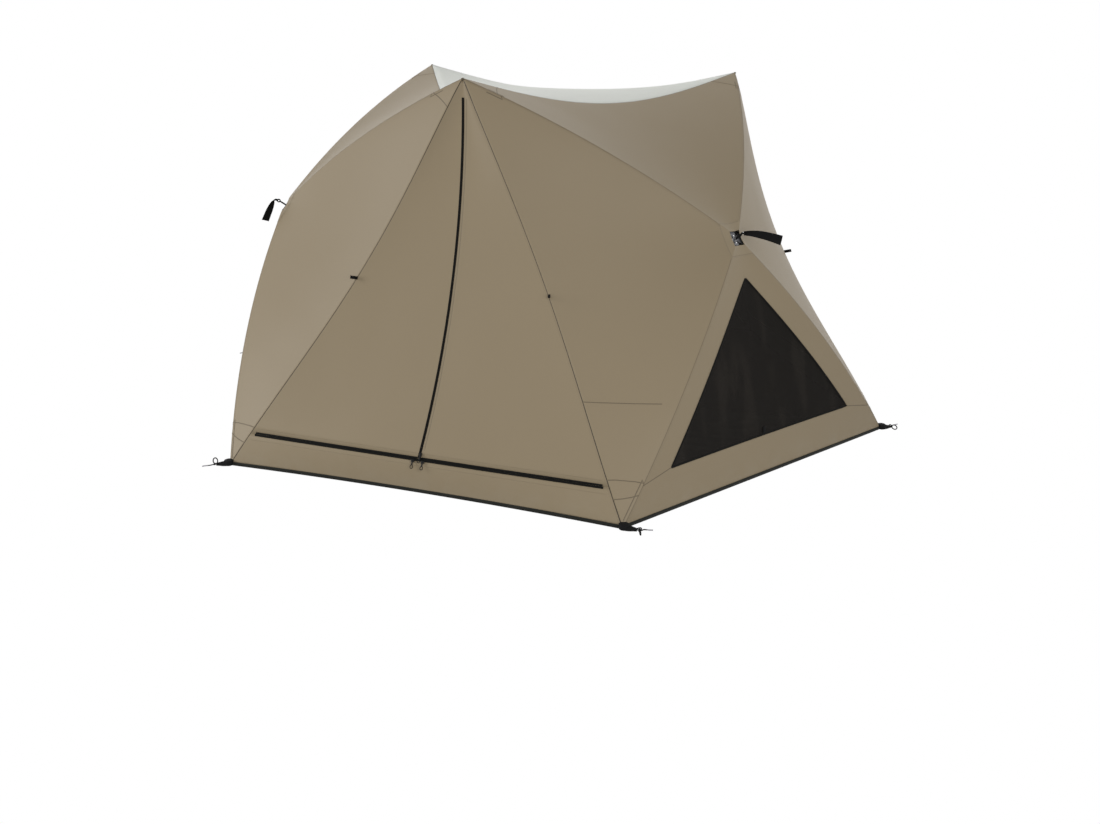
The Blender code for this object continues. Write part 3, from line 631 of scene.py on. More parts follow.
def grid(name, across, up, place, flat, share=None):
    """A grid placed by a formula: its columns and rows are lists of the formula's two numbers."""
    pick()
    columns, rows = len(across) - 1, len(up) - 1
    bpy.ops.mesh.primitive_grid_add(x_subdivisions=columns, y_subdivisions=rows, size=2)
    piece = named(bpy.context.object, name)
    pattern, shares = [], []
    for vertex in piece.data.vertices:
        a = across[round((vertex.co.x + 1) / 2 * columns)]
        b = up[round((vertex.co.y + 1) / 2 * rows)]
        vertex.co = place(a, b)
        pattern.append(flat(a, b))
        shares.append(share(a, b) if share else 0.0)
    lay_flat(piece, piece.data.uv_layers[0], pattern)
    pull = piece.data.attributes.new("pull", "FLOAT", "POINT")
    pull.data.foreach_set("value", np.array(shares, np.float32))
    return piece


def join(name, *pieces, within=0.00001):
    """Several meshes in one, merged where their points meet."""
    pick(*pieces)
    bpy.ops.object.join()
    bpy.ops.object.mode_set(mode="EDIT")
    bpy.ops.mesh.select_all(action="SELECT")
    bpy.ops.mesh.remove_doubles(threshold=within)
    bpy.ops.object.mode_set(mode="OBJECT")
    return named(bpy.context.object, name)


def modify(piece, kind, **values):
    """Adds a modifier with these values and applies it."""
    pick(piece)
    made = piece.modifiers.new(kind, kind)
    for name, value in values.items():
        setattr(made, name, value)
    bpy.ops.object.modifier_apply(modifier=made.name)
    return piece


def finish(piece, *materials):
    """Materials and smooth shading."""
    for material in materials:
        piece.data.materials.append(material)
    pick(piece)
    bpy.ops.object.shade_smooth()
    return piece


def area_of(piece):
    """The area of a piece's faces in square metres."""
    return sum(face.area for face in piece.data.polygons)


# %% Seams
def points_of(piece):
    """A piece's points as an array."""
    co = np.zeros(len(piece.data.vertices) * 3)
    piece.data.vertices.foreach_get("co", co)
    return co.reshape(-1, 3)


def signed_places(points, normals, line):
    """For each point, its signed distance from a line, its place along it, and if it lies beside."""
    line = np.asarray(line, float)
    start, step = line[:-1], np.diff(line, axis=0)
    length = np.linalg.norm(step, axis=1)
    ahead = step / length[:, None]
    reach = np.concatenate([[0], np.cumsum(length)[:-1]])
    offset = points[:, None, :] - start[None]
    along = np.einsum("psk,sk->ps", offset, ahead)
    held = np.clip(along, 0, length)
    away = offset - held[..., None] * ahead
    far = np.linalg.norm(away, axis=2)
    nearest = far.argmin(axis=1)
    row = np.arange(len(points))
    side = np.einsum("pk,pk->p", away[row, nearest], np.cross(ahead[nearest], normals))
    place = reach[nearest] + along[row, nearest]
    beside = (place >= -0.002) & (place <= length.sum() + 0.002)
    return np.where(side < 0, -1, 1) * far[row, nearest], place, beside


def sew(piece, seams):
    """Writes the seam attribute: each face takes its nearest line. A seam is (points, strength)."""
    mesh = piece.data
    points = points_of(piece)
    normals = np.array([vertex.normal for vertex in mesh.vertices])
    found = [signed_places(points, normals, line) for line, _ in seams]
    values = np.zeros((len(mesh.loops), 3), np.float32)
    values[:, 0] = 1.0
    for face in mesh.polygons:
        corners = list(face.vertices)
        best = min(range(len(seams)), key=lambda i: np.abs(found[i][0][corners]).mean())
        away, place, beside = found[best]
        if beside[corners].sum() * 2 > len(corners):
            loops = slice(face.loop_start, face.loop_start + face.loop_total)
            values[loops, 0], values[loops, 1] = away[corners], place[corners]
            values[loops, 2] = seams[best][1]
    seam = mesh.attributes.new("seam", "FLOAT_VECTOR", "CORNER")
    seam.data.foreach_set("vector", values.ravel())
    return piece


def thicken(piece, outer, inner, thickness=CLOTH):
    """Gives a sheet its thickness on the inner side, where the second material shows."""
    finish(piece, outer, inner)
    return modify(piece, "SOLIDIFY", thickness=thickness, offset=-1, material_offset=1)


# %% Three times round the tent
def thirds(piece, stem, names):
    """The piece and its two copies, each turned to its own third of the tent."""
    made = [piece]
    for third in (1, 2):
        one = piece.copy()
        one.data = piece.data.copy()
        one.data.transform(third_turn(third))
        bpy.context.collection.objects.link(one)
        made.append(one)
    return [named(one, f"{stem}_{name}") for one, name in zip(made, names)]


def follow(piece, still):
    """Reads the pull share of each point, and bakes the sheet's place into its points."""
    pull = np.zeros(len(piece.data.vertices), np.float32)
    piece.data.attributes["pull"].data.foreach_get("value", pull)
    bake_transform(piece)


def dress(piece, stem, names, nodes=(), body="shell", moving=None):
    """Places a piece three times, on one body unless a moving one is given, for the nodes it
    replaces.
    """
    made = list(zip(thirds(piece, stem, names), names))
    for one, name in made:
        if moving:
            follow(one, body)
        else:
            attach(one, body.format(name))
        if nodes:
            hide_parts(*[node.format(name) for node in nodes])
    return made


print("sheet helpers ready")

# %% [markdown]
# ## The window sides
#
# Each window side is four triangles of cloth that meet over the poles, sewn into one sheet with a
# small opening for the hub. Every point carries its share of the way from the outer edge to the hub.

# %% One window side's cloth
SIDE_RISE = np.linalg.norm(HUB - SIDE_FOOT)
U_TOP = 1 - HUB_OPENING / SIDE_RISE
RISES = [0.0, 0.010, *np.linspace(0.03, U_TOP, 38)]
SPANS = [0.0, 0.007, *np.linspace(0.03, 0.97, 30), 0.993, 1.0]
WALL_FOOT = FLOOR + 0.001


def grounded(point):
    """A point of a wall, kept above the ground sheet."""
    return (point[0], point[1], max(point[2], WALL_FOOT))


def panel_width(panel):
    """The length of a panel's outer edge."""
    start, end = PANELS[panel]
    return np.linalg.norm(end - start)


def panel_flat(panel):
    """The formula of a panel's flat pattern."""
    width = panel_width(panel)
    return lambda v, u: ((v - 0.5) * width * (1 - u), u * SIDE_RISE)


def side_triangle(panel):
    """The top, left or right triangle."""

    def place(v, u):
        return grounded(panel_point(panel, u, v))

    return grid(panel, SPANS, RISES, place, panel_flat(panel), lambda v, u: u)


def loop_line(corners, counts):
    """Points along a closed line through corners."""
    line = []
    for i, count in enumerate(counts):
        a, b = np.array(corners[i], float), np.array(corners[(i + 1) % len(corners)], float)
        line += [a + (b - a) * s / count for s in range(count)]
    return line + [line[0]]


WINDOW_CORNERS = [
    (WINDOW_FOOT, -WINDOW_HALF),
    (WINDOW_FOOT, WINDOW_HALF),
    (WINDOW_TOP, WINDOW_TIP),
    (WINDOW_TOP, -WINDOW_TIP),
]


def window_wall():
    """The bottom triangle: a frame of cloth around the window."""
    outer = [(0.0, (2 * s - 1) * SIDE_HALF) for s in SPANS]
    outer += [(u, SIDE_HALF * (1 - u)) for u in RISES[1:]]
    outer += [(U_TOP, x * SIDE_HALF * (1 - U_TOP)) for x in (0.5, 0.0, -0.5)]
    outer += [(u, -SIDE_HALF * (1 - u)) for u in RISES[::-1]]
    inner = loop_line(WINDOW_CORNERS, (len(SPANS) - 1, len(RISES) - 1, 4, len(RISES) - 1))

    def mixed(i, share):
        a, b = np.array(outer[i]), np.array(inner[i])
        return a + (b - a) * share

    def place(i, share):
        return grounded(window_point(*mixed(i, share)))

    def flat(i, share):
        u, x = mixed(i, share)
        return (x, u * SIDE_RISE)

    rows = [0.0, 0.03, *np.linspace(0.12, 1, 9)]
    steps = list(range(len(outer)))
    return grid("bottom", steps, rows, place, flat, lambda i, share: mixed(i, share)[0])


def surface_line(place, corners, count):
    """Points of a surface on the straight runs between corners, with none twice."""
    line = []
    for start, end in zip(corners, corners[1:]):
        start, end = np.array(start, float), np.array(end, float)
        line += [place(*(start + (end - start) * s)) for s in np.linspace(0, 1, count)]
    return [line[0]] + [b for a, b in zip(line, line[1:]) if np.linalg.norm(b - a) > 1e-6]


def line_on(panel, places):
    """A line on a panel through (u, v) places."""
    return surface_line(lambda u, v: panel_point(panel, u, v), places, 16)


# How dark the painted shadow line along each kind of seam is. A negative one has stitches and no
# painted shadow line.
SEAM_STRONG, SEAM_RIDGE, SEAM_FAINT, SEAM_LIGHT, STITCHES = 1.0, 0.38, 0.4, 0.22, -1.0


def make_side():
    """The cloth of all three window sides."""
    panels = [side_triangle(panel) for panel in ("left", "right", "top")]
    piece = join("side_cloth", *panels, window_wall(), within=0.0002)
    edges = [line_on(panel, [(0, 0), (0, 1)]) for panel in ("left", "right", "top")]
    ridges = [line_on(panel, [(0, 0), (U_TOP, 0)]) for panel in PANELS]
    sew(piece, [(line, SEAM_STRONG) for line in edges] + [(line, SEAM_RIDGE) for line in ridges])
    thicken(piece, CANOPY, COATING)
    nodes = [f"panel_{panel}_{{}}" for panel in PANELS]
    for one, side in dress(piece, "side_cloth", SIDES, nodes, moving="hub_{}"):
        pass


make_side()

# %% [markdown]
# ## The doors
#
# Half a door is one sheet: the fixed strip along the seam, and the leaf beside it. The leaf hinges
# on the strip, and each point carries its share of the leaf's motion. The leaves part along the
# middle zip, and along the bottom zip from the sill, which is a sheet of its own from seam to seam.

# %% Half a door
SLIT, ZIP_SLIT = 0.0015, 0.0012
FOLD_WIDTH, FOLD_MOST = 0.16, 0.8
FOLD_SHARE_TOP = FOLD_TOP / (DOOR_HALF * LEAF_TOP)
FOLD_SHARE_FOOT = FOLD_FOOT / (DOOR_HALF * LEAF_FOOT)


def fold_place(drop):
    """Where the leaf ends: its fold line, carried on to the peak and over the sill."""
    if drop < LEAF_TOP:
        return FOLD_SHARE_TOP * DOOR_HALF * drop
    if drop > LEAF_FOOT:
        return FOLD_SHARE_FOOT * DOOR_HALF * drop
    return fold_x(drop)


def leaf_share(drop, x):
    """A point's share of its leaf's motion: 0 on the fixed strip, 1 on most of the leaf."""
    fold = fold_place(drop)
    if not LEAF_TOP + 0.001 < drop < LEAF_FOOT + 0.0001 or abs(x) >= fold:
        return 0.0
    t = min((fold - abs(x)) / min(FOLD_WIDTH, FOLD_MOST * fold), 1.0)
    return t * t * (3 - 2 * t)


def door_x(drop, column):
    """The x of a column: 0 to 1 spans the leaf, 1 to 2 the strip beside it."""
    fold, edge = fold_place(drop), DOOR_HALF * drop
    slit = ZIP_SLIT if LEAF_TOP < drop <= LEAF_FOOT else 0.0
    if column <= 1:
        return slit + (fold - slit) * column
    return fold + (edge - fold) * (column - 1)


COLUMNS = [0, 0.012, *np.linspace(0.04, 1, 23), *np.linspace(1.12, 1.9, 7), 1.97, 2.0]


def half_door(side):
    """The right (1) or left (-1) half of the front door."""
    columns = COLUMNS if side > 0 else COLUMNS[::-1]
    leaf = [*np.linspace(0.006, LEAF_TOP, 5), *np.linspace(LEAF_TOP, LEAF_FOOT, 44)[1:]]

    def place(column, drop):
        x = side * door_x(drop, column)
        lifted = drop - SLIT / DOOR_DROP if drop == LEAF_FOOT and column < 1 else drop
        return grounded(door_point(lifted, x))

    def flat(column, drop):
        return (side * door_x(drop, column), -drop * DOOR_DROP)

    def share(column, drop):
        return leaf_share(drop, door_x(drop, column))

    return grid("half_door", columns, leaf[::-1], place, flat, share)


def sill():
    """The fixed cloth below the bottom zip, from seam to seam."""
    columns = [-c for c in COLUMNS[:0:-1]] + COLUMNS
    drops = list(np.linspace(LEAF_FOOT + 1e-6, 1, 8))[::-1]

    def across(column, drop):
        return math.copysign(door_x(drop, abs(column)), column)

    def place(column, drop):
        return grounded(door_point(drop, across(column, drop)))

    def flat(column, drop):
        return (across(column, drop), -drop * DOOR_DROP)

    return grid("sill", columns, drops, place, flat)


STORM_STITCH = 0.017
BOTTOM_ZIP_HALF, SEAM_END = 0.810, 0.826
LEAF_STITCHES, SILL_STITCHES = LEAF_FOOT - 0.012, LEAF_FOOT + 0.016


def door_line(places):
    """A line on the door through (drop, x) places."""
    return surface_line(door_point, places, 24)


def door_edge(side):
    """A door's seam, from the peak to the ground corner."""
    return door_line([(0.006, side * DOOR_HALF * 0.006), (1.0, side * DOOR_HALF)])


def door_seams(side):
    """The seams of half a door: its edge, the storm flap's fold, and the bottom zip's stitches."""
    seams = [(door_edge(side), SEAM_STRONG)]
    if side > 0:
        flap = [(LEAF_TOP - 0.005, STORM_STITCH), (LEAF_FOOT - 0.004, STORM_STITCH)]
        seams.append((door_line(flap), SEAM_FAINT))
    row = [(LEAF_STITCHES, 0.0), (LEAF_STITCHES, side * SEAM_END)]
    return [*seams, (door_line(row), STITCHES)]


def make_doors():
    """The cloth of all six half doors."""
    for side, word in HALVES:
        piece = half_door(side)
        area = area_of(piece)
        sew(piece, door_seams(side))
        thicken(piece, CANOPY, COATING)
        stem, leaf, size = f"door_cloth_{word}", f"door_leaf_{word}_{{}}", (DOOR_HALF, DOOR_DROP)
        for one, _ in dress(piece, stem, DOORS, [leaf], moving=leaf):
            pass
        print("half door", word, round(area, 2), "m2")


def make_sills():
    """The three sills."""
    piece = sill()
    row = door_line([(SILL_STITCHES, -SEAM_END), (SILL_STITCHES, SEAM_END)])
    sew(piece, [(door_edge(side), SEAM_STRONG) for side in (-1, 1)] + [(row, STITCHES)])
    thicken(piece, CANOPY, COATING)
    nodes = ["door_surround_{}"]
    for one, _ in dress(piece, "door_sill", DOORS, nodes):
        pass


make_doors()
make_sills()

# %% [markdown]
# ## Windows
#
# The window is black netting, bound with a narrow black tape on its edge. Its points carry their
# shares of the way up, as the cloth around it does.

# %% Netting
NET_SINK, NET_RISE, NET_TUCK = 0.0012, 0.68, 0.008


def make_windows():
    """The netting of the three windows, a little behind the wall's face."""

    def place(x, u):
        return window_point(u, x * window_edge(u)) - SIDE_NORMAL * NET_SINK

    def flat(x, u):
        return (x * window_edge(u), u * SIDE_RISE)

    columns, rows = np.linspace(-1, 1, 31), np.linspace(WINDOW_FOOT - NET_TUCK, WINDOW_TOP, 36)
    piece = grid("window_net", list(columns), list(rows), place, flat, lambda x, u: u)
    finish(piece, NET)
    nodes, size = ["window_mesh_{}"], (2 * WINDOW_HALF, NET_RISE)
    for one, side in dress(piece, "window_net", SIDES, nodes, moving="hub_{}"):
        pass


make_windows()

# %% [markdown]
# ## Bands and bindings
#
# Bindings, zip tapes and the hem are narrow bands that run along a line on the cloth. A band is a
# grid too: its columns follow the line, and its rows follow a small profile of across and out.

# %% Bands
def band(name, line, profile, share=None):
    """A band along a line of (point, sideways, outward), with a profile of (sideways, outward)."""
    reach = [0.0]
    for (a, _, _), (b, _, _) in zip(line, line[1:]):
        reach.append(reach[-1] + np.linalg.norm(np.subtract(b, a)))

    def place(i, k):
        here, sideways, outward = line[i]
        return here + profile[k][0] * sideways + profile[k][1] * outward

    def flat(i, k):
        return (reach[i], profile[k][0])

    return grid(name, list(range(len(line))), list(range(len(profile))), place, flat, share)


def frames(points, outward):
    """Points with the directions beside the line and out of the cloth, for a band."""
    line = []
    for i, here in enumerate(points):
        ahead = unit(points[min(i + 1, len(points) - 1)] - points[max(i - 1, 0)])
        out = outward(i)
        out = unit(out - (out @ ahead) * ahead)
        line.append((here, np.cross(out, ahead), out))
    return line


TAPE_HEIGHT, TAPE_EDGE = 0.0011, 0.0008
# Directions on the cloth are read over this step.
NEAR = 0.004


def tape_profile(low, high):
    """A thin tape between two distances beside its line."""
    soft = min(TAPE_EDGE, (high - low) / 4)
    return [(low, 0.0), (low + soft, TAPE_HEIGHT), (high - soft, TAPE_HEIGHT), (high, 0.0)]


def door_frames(places):
    """A band's line on the front door through (drop, x) places, upward or to the right."""
    points = [door_point(drop, x) for drop, x in places]

    def outward(i):
        drop, x = places[i]
        up = door_point(drop - NEAR, x) - door_point(drop + NEAR, x)
        right = door_point(drop, x + NEAR) - door_point(drop, x - NEAR)
        return unit(np.cross(right, up))

    return frames(points, outward)


# %% Window bindings
def make_window_bindings():
    """A narrow black tape over the window's three edges."""
    places = loop_line(WINDOW_CORNERS, (30, 30, 2, 30))
    line = frames([window_point(u, x) for u, x in places], lambda i: SIDE_NORMAL)
    tape = band("tape", line, tape_profile(-0.004, 0.005), lambda i, k: places[i][0])
    piece = finish(join("window_binding", tape, within=0.0002), TAPE)
    dress(piece, "window_binding", SIDES, moving="hub_{}")
    print("window bindings made")


make_window_bindings()

# %% Joins, pockets and reinforcements
# The fold of cloth along each of these lines is 4 mm wide. Places on a panel are (u, v).
JOIN_HEIGHT, JOIN_REACH = 0.43, 0.86
POCKET, TRIM_STEP = 0.018, 0.012
FOOT_POCKET, HEAD_POCKET = (0.012, 0.140), (0.075, 0.130)
FOOT_ARC = [(0.0, 0.900), (0.037, 0.921), (0.073, 0.945), (0.109, 0.971), (0.143, 1.0)]
FOOT_CORNER, HEAD_CORNER = [(0.0, 0.940), (0.105, 1.0)], [(0.0, 0.930), (0.125, 1.0)]
TOP_CORNER, WALL_CORNER = (0.105, 0.120), 0.135
FOLD_PROFILE = [(-0.0020, 0.0002), (-0.0012, 0.0008), (0.0012, 0.0008), (0.0020, 0.0002)]


def pocket_places(panel, edge, low, high):
    """The edge of a pole's pocket beside one ridge (v = 0 or 1) of a panel."""
    beside = {u: abs(edge - POCKET / (panel_width(panel) * (1 - u))) for u in (low, high)}
    return [(low, beside[low]), (high, beside[high]), (high, edge)]


def join_places():
    """The level join across the left panel, from the door's seam towards the ridge."""
    places = []
    for u in np.linspace(0.002, 0.5, 60):
        low, high = 1.0, 0.0
        for _ in range(24):
            middle = (low + high) / 2
            below = panel_point("left", u, middle)[2] < JOIN_HEIGHT
            low, high = (middle, high) if below else (low, middle)
        if panel_point("left", u, 1.0)[2] < JOIN_HEIGHT:
            places.append((u, low))
    return places[: int(len(places) * JOIN_REACH) : 3]


def trim_band(panel, places):
    """A narrow fold of cloth sewn along a line on a panel."""
    spots = [places[0]]
    for (u0, v0), (u1, v1) in zip(places, places[1:]):
        far = np.linalg.norm(panel_point(panel, u1, v1) - panel_point(panel, u0, v0))
        shares = np.linspace(0, 1, max(2, int(far / TRIM_STEP)) + 1)[1:]
        spots += [(u0 + (u1 - u0) * s, v0 + (v1 - v0) * s) for s in shares]

    def outward(i):
        u, v = spots[i]
        rise = panel_point(panel, u + NEAR, v) - panel_point(panel, u, v)
        run = panel_point(panel, u, v + NEAR) - panel_point(panel, u, v - NEAR)
        return unit(np.cross(run, rise))

    line = frames([panel_point(panel, u, v) for u, v in spots], outward)
    return band("trim", line, FOLD_PROFILE, lambda i, k: spots[i][0])


def make_trims():
    """The joins, pocket edges and reinforced corners of the window sides."""
    pockets = [pocket_places("left", 1, *FOOT_POCKET), pocket_places("left", 0, *HEAD_POCKET)]
    parts = [trim_band("left", join_places()), trim_band("right", HEAD_CORNER)]
    for places in (*pockets, FOOT_CORNER, FOOT_ARC):
        parts.append(trim_band("left", places))
        parts.append(trim_band("right", [(u, 1 - v) for u, v in places]))
    for edge in (0, 1):
        parts.append(trim_band("top", pocket_places("top", edge, *HEAD_POCKET)))
        parts.append(trim_band("top", [(0.0, abs(edge - TOP_CORNER[0])), (TOP_CORNER[1], edge)]))
        foot = abs(edge - (0.5 - WINDOW_HALF / (2 * SIDE_HALF * (1 - WINDOW_FOOT))))
        parts.append(trim_band("bottom", [(WINDOW_FOOT, foot), (WALL_CORNER, edge)]))
    piece = join("side_trim", *parts)
    # The folds' darker cloth is painted shade.
    dress(finish(piece, SHADED_FOLD), "side_trim", SIDES, moving="hub_{}")
    print("joins and pockets made")


make_trims()

# %% [markdown]
# ## Zips
#
# The upright zip has a tape and half a coil on each leaf. The bottom zip's lower half is on the
# sill and its upper half on the leaves.

# %% Zip tapes and coils
ZIP_TAPE, LEAF_TAPE, SILL_TAPE = 0.0062, 0.0080, 0.0095
COIL_RADIUS, COIL_LIFT = 0.0016, 0.0010
ZIP_ENDS = (LEAF_FOOT - 0.002, LEAF_TOP - 0.003)


def coil_profile(middle):
    """Half a round cord on a tape."""
    turns = np.linspace(0, math.pi, 7)[::-1]
    across = [middle + COIL_RADIUS * math.cos(t) for t in turns]
    return [(x, COIL_LIFT + COIL_RADIUS * math.sin(t)) for x, t in zip(across, turns)]


def leaf_zip(side):
    """The tape and half coil on a leaf's upright edge, and the tape along its foot."""
    upright = door_frames([(drop, side * 0.0001) for drop in np.linspace(*ZIP_ENDS, 60)])
    profile = tape_profile(*sorted((0.0, -side * ZIP_TAPE)))
    tape = band("tape", upright, profile, lambda i, k: 1.0)
    coil = band("coil", upright, coil_profile(-side * COIL_RADIUS), lambda i, k: 1.0)
    xs = sorted(np.linspace(side * ZIP_TAPE, side * (BOTTOM_ZIP_HALF - 0.004), 50))
    level = door_frames([(LEAF_FOOT - 0.0001, x) for x in xs])
    shares = [leaf_share(LEAF_FOOT - 0.0002, x) for x in xs]
    foot = band("foot", level, tape_profile(0.0, LEAF_TAPE), lambda i, k: shares[i])
    return join("leaf_zip", tape, coil, foot, within=0.0002)


def make_zips():
    """The zips of the three doors."""
    for side, word in HALVES:
        piece = finish(leaf_zip(side), TAPE)
        dress(piece, f"leaf_zip_{word}", DOORS, moving=f"door_leaf_{word}_{{}}")
    xs = np.linspace(-BOTTOM_ZIP_HALF, BOTTOM_ZIP_HALF, 110)
    level = door_frames([(LEAF_FOOT + 0.0001, x) for x in xs])
    tape = band("sill", level, tape_profile(-SILL_TAPE, 0.0))
    coil = band("coil", level, coil_profile(-COIL_RADIUS))
    dress(finish(join("sill_zip", tape, coil, within=0.0002), TAPE), "sill_zip", DOORS)
    print("zips made")


make_zips()

# %% [markdown]
# ## Roof and floor
#
# The roof sheet hangs between the three peaks. A triangle, subdivided, is its grid. The floor is a
# thin black sheet that the walls stand on, with a grey hem along their feet.

# %% Roof sheet
ROOF_STEPS = 34


def make_roof():
    """The pale sheet between the peaks."""
    pick()
    bpy.ops.mesh.primitive_circle_add(vertices=3, radius=1, fill_type="NGON", enter_editmode=True)
    bpy.ops.mesh.subdivide(number_cuts=ROOF_STEPS)
    bpy.ops.object.mode_set(mode="OBJECT")
    piece = named(bpy.context.object, "roof_canopy")
    turns = [2 * math.pi * third / 3 for third in range(3)]
    corners = [Vector((math.sin(turn), math.cos(turn))) for turn in turns]
    pattern = []
    for vertex in piece.data.vertices:
        shares = [(1 + 2 * vertex.co.xy.dot(corner)) / 3 for corner in corners]
        a, b, c = (min(max(s, 0.0), 1.0) for s in shares)
        pattern.append(vertex.co.xy * PEAK_RADIUS)
        vertex.co = roof_point(a, c, b)
    lay_flat(piece, piece.data.uv_layers.new(name="UVMap"), pattern)
    bpy.ops.object.mode_set(mode="EDIT")
    bpy.ops.mesh.select_all(action="SELECT")
    bpy.ops.mesh.normals_make_consistent(inside=False)
    bpy.ops.object.mode_set(mode="OBJECT")
    if piece.data.polygons[0].normal.z < 0:
        piece.data.flip_normals()
    edge = [roof_point(s, 1 - s, 0) for s in np.linspace(0, 1, 40)]
    sew(piece, [(edge, SEAM_FAINT)])
    # The roof's paler white is painted light from above.
    thicken(piece, LIT_ROOF, LIT_ROOF)
    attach(piece, "shell")
    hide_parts("roof_sheet")


make_roof()

# %% Floor and hem
HEM_HEIGHT, HEM_OUT = 0.014, 0.0022
FLOOR_SIZE, FLOOR_EDGE, FLOOR_BASE = (3.6, 3.25), 0.002, 0.0004
FLOOR_SEAM = [(-1.2, 0.35, FLOOR), (1.2, 0.35, FLOOR)]


def base_line(third):
    """The walls' foot along a door and the side on its right, with outward directions."""
    line = [(door_point(1.0, x), FRONT) for x in np.linspace(-DOOR_HALF, DOOR_HALF, 40)]
    run = LOWER_RIGHT - LOWER_LEFT
    line += [(LOWER_LEFT + run * s, SIDE_OUT) for s in np.linspace(0, 1, 20)[1:]]
    return [(turned(p, third), turned(d, third)) for p, d in line]


def make_floor():
    """The ground sheet, cut to the walls' foot."""
    outline = []
    for third in range(3):
        outline += [here + FLOOR_EDGE * out for here, out in base_line(third)[:-1]]
    pick()
    bpy.ops.mesh.primitive_circle_add(vertices=len(outline), radius=1, fill_type="TRIFAN")
    piece = named(bpy.context.object, "floor_sheet")
    rim = [vertex for vertex in piece.data.vertices if vertex.co.length > 0.5]
    rim.sort(key=lambda vertex: math.atan2(vertex.co.y, vertex.co.x))
    outline.sort(key=lambda point: math.atan2(point[1], point[0]))
    for vertex, point in zip(rim, outline):
        vertex.co = (point[0], point[1], 0)
    for vertex in piece.data.vertices:
        vertex.co.z = FLOOR
    layer = piece.data.uv_layers.new(name="UVMap")
    lay_flat(piece, layer, [vertex.co.xy for vertex in piece.data.vertices])
    sew(piece, [(FLOOR_SEAM, SEAM_FAINT)])
    thicken(piece, GROUND, GROUND, FLOOR - FLOOR_BASE)
    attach(piece, "shell")
    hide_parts("ground_sheet")


def make_hem():
    """The grey hem at the walls' foot, one piece for each third."""
    line = [(np.array((p[0], p[1], FLOOR)), UP, out) for p, out in base_line(0)]
    low, high = (-0.002, 0.0), (HEM_HEIGHT, 0.0004)
    piece = band("hem", line, [low, (-0.0015, HEM_OUT), (HEM_HEIGHT - 0.001, HEM_OUT), high])
    dress(finish(piece, HEM), "hem", DOORS)
    print("hem made")


make_floor()
make_hem()

# %% [markdown]
# ## Hubs
#
# The imported hub has the disc, the slots for the poles and the bail. A stitched patch of the same
# cloth frames the opening in the canopy, and carries its shares of the way up as the rest of the
# sheet does.

# %% The patch around a hub
PATCH_REACH, PATCH_RAISED, PATCH_STITCH = 0.050, 0.0009, 0.005
PATCH_FOOT = U_TOP - PATCH_REACH / SIDE_RISE


def patch_quarter(panel):
    """The patch's part on one triangle."""
    start, end = PANELS[panel]
    out = unit(np.cross(end - start, HUB - start))

    def place(v, u):
        share = 0.3 if u in (PATCH_FOOT, U_TOP) else 1.0
        return panel_point(panel, u, v) + out * PATCH_RAISED * share

    inner = np.linspace(PATCH_FOOT + 0.004, U_TOP - 0.002, 7)
    columns, rows = list(np.linspace(0, 1, 15)), [PATCH_FOOT, PATCH_FOOT + 0.001, *inner, U_TOP]
    return grid(f"patch_{panel}", columns, rows, place, panel_flat(panel), lambda v, u: u)


def make_patches():
    """The patches around the three hubs."""
    piece = join("hub_patch", *[patch_quarter(panel) for panel in PANELS], within=0.002)
    inside = PATCH_FOOT + PATCH_STITCH / SIDE_RISE
    sew(piece, [(line_on(panel, [(inside, 0), (inside, 1)]), SEAM_LIGHT) for panel in PANELS])
    dress(finish(piece, PATCH), "hub_patch", SIDES, moving="hub_{}")
    print("hub patches made")


make_patches()

# %% Round parts
SHARP = math.radians(40)


def soft_edges(piece, width, material):
    """A narrow bevel and one material, with shading that keeps the sharp edges."""
    modify(piece, "BEVEL", width=width, segments=2)
    piece.data.materials.append(material)
    bpy.ops.object.shade_smooth_by_angle(angle=SHARP)
    return piece


def block(size, middle, bevel, material):
    """A flat block with softened edges."""
    pick()
    bpy.ops.mesh.primitive_cube_add(size=1)
    piece = bpy.context.object
    piece.data.transform(Matrix.Translation(middle) @ Matrix.Diagonal((*size, 1)))
    return soft_edges(piece, bevel, material)


def turned_part(name, radius, depth, vertices, matrix, bevel, material):
    """A short round bar or disc with softened edges, placed by a matrix."""
    pick()
    bpy.ops.mesh.primitive_cylinder_add(vertices=vertices, radius=radius, depth=depth)
    piece = soft_edges(named(bpy.context.object, name), bevel, material)
    piece.data.transform(matrix)
    return piece


def ring(name, radius, wire, matrix, material):
    """A ring of round wire."""
    pick()
    bpy.ops.mesh.primitive_torus_add(
        major_radius=radius, minor_radius=wire, major_segments=28, minor_segments=10
    )
    piece = named(bpy.context.object, name)
    piece.data.transform(matrix)
    return finish(piece, material)


def rope(name, points, radius, material, closed=False):
    """A cord through points, as a mesh tube."""
    pick()
    bpy.ops.curve.primitive_bezier_curve_add()
    data = bpy.context.object.data
    data.splines.clear()
    spline = data.splines.new("NURBS")
    spline.points.add(len(points) - 1)
    for knot, point in zip(spline.points, points):
        knot.co = (*point, 1.0)
    spline.order_u, spline.resolution_u = 3, 3
    spline.use_endpoint_u, spline.use_cyclic_u = not closed, closed
    data.bevel_depth, data.bevel_resolution, data.use_fill_caps = radius, 2, True
    bpy.ops.object.convert(target="MESH")
    piece = named(bpy.context.object, name)
    piece.data.materials.clear()
    return finish(piece, material)


def webbing(piece, thickness):
    """Makes woven tape of a sheet, thickened evenly to both sides."""
    modify(piece, "SOLIDIFY", thickness=thickness, offset=0)
    return finish(piece, WEBBING)


def basis(right, ahead, out, origin):
    """The matrix whose axes are three directions at a place."""
    turn = Matrix([tuple(v) for v in (right, ahead, out)]).transposed().to_4x4()
    return Matrix.Translation(Vector(origin)) @ turn


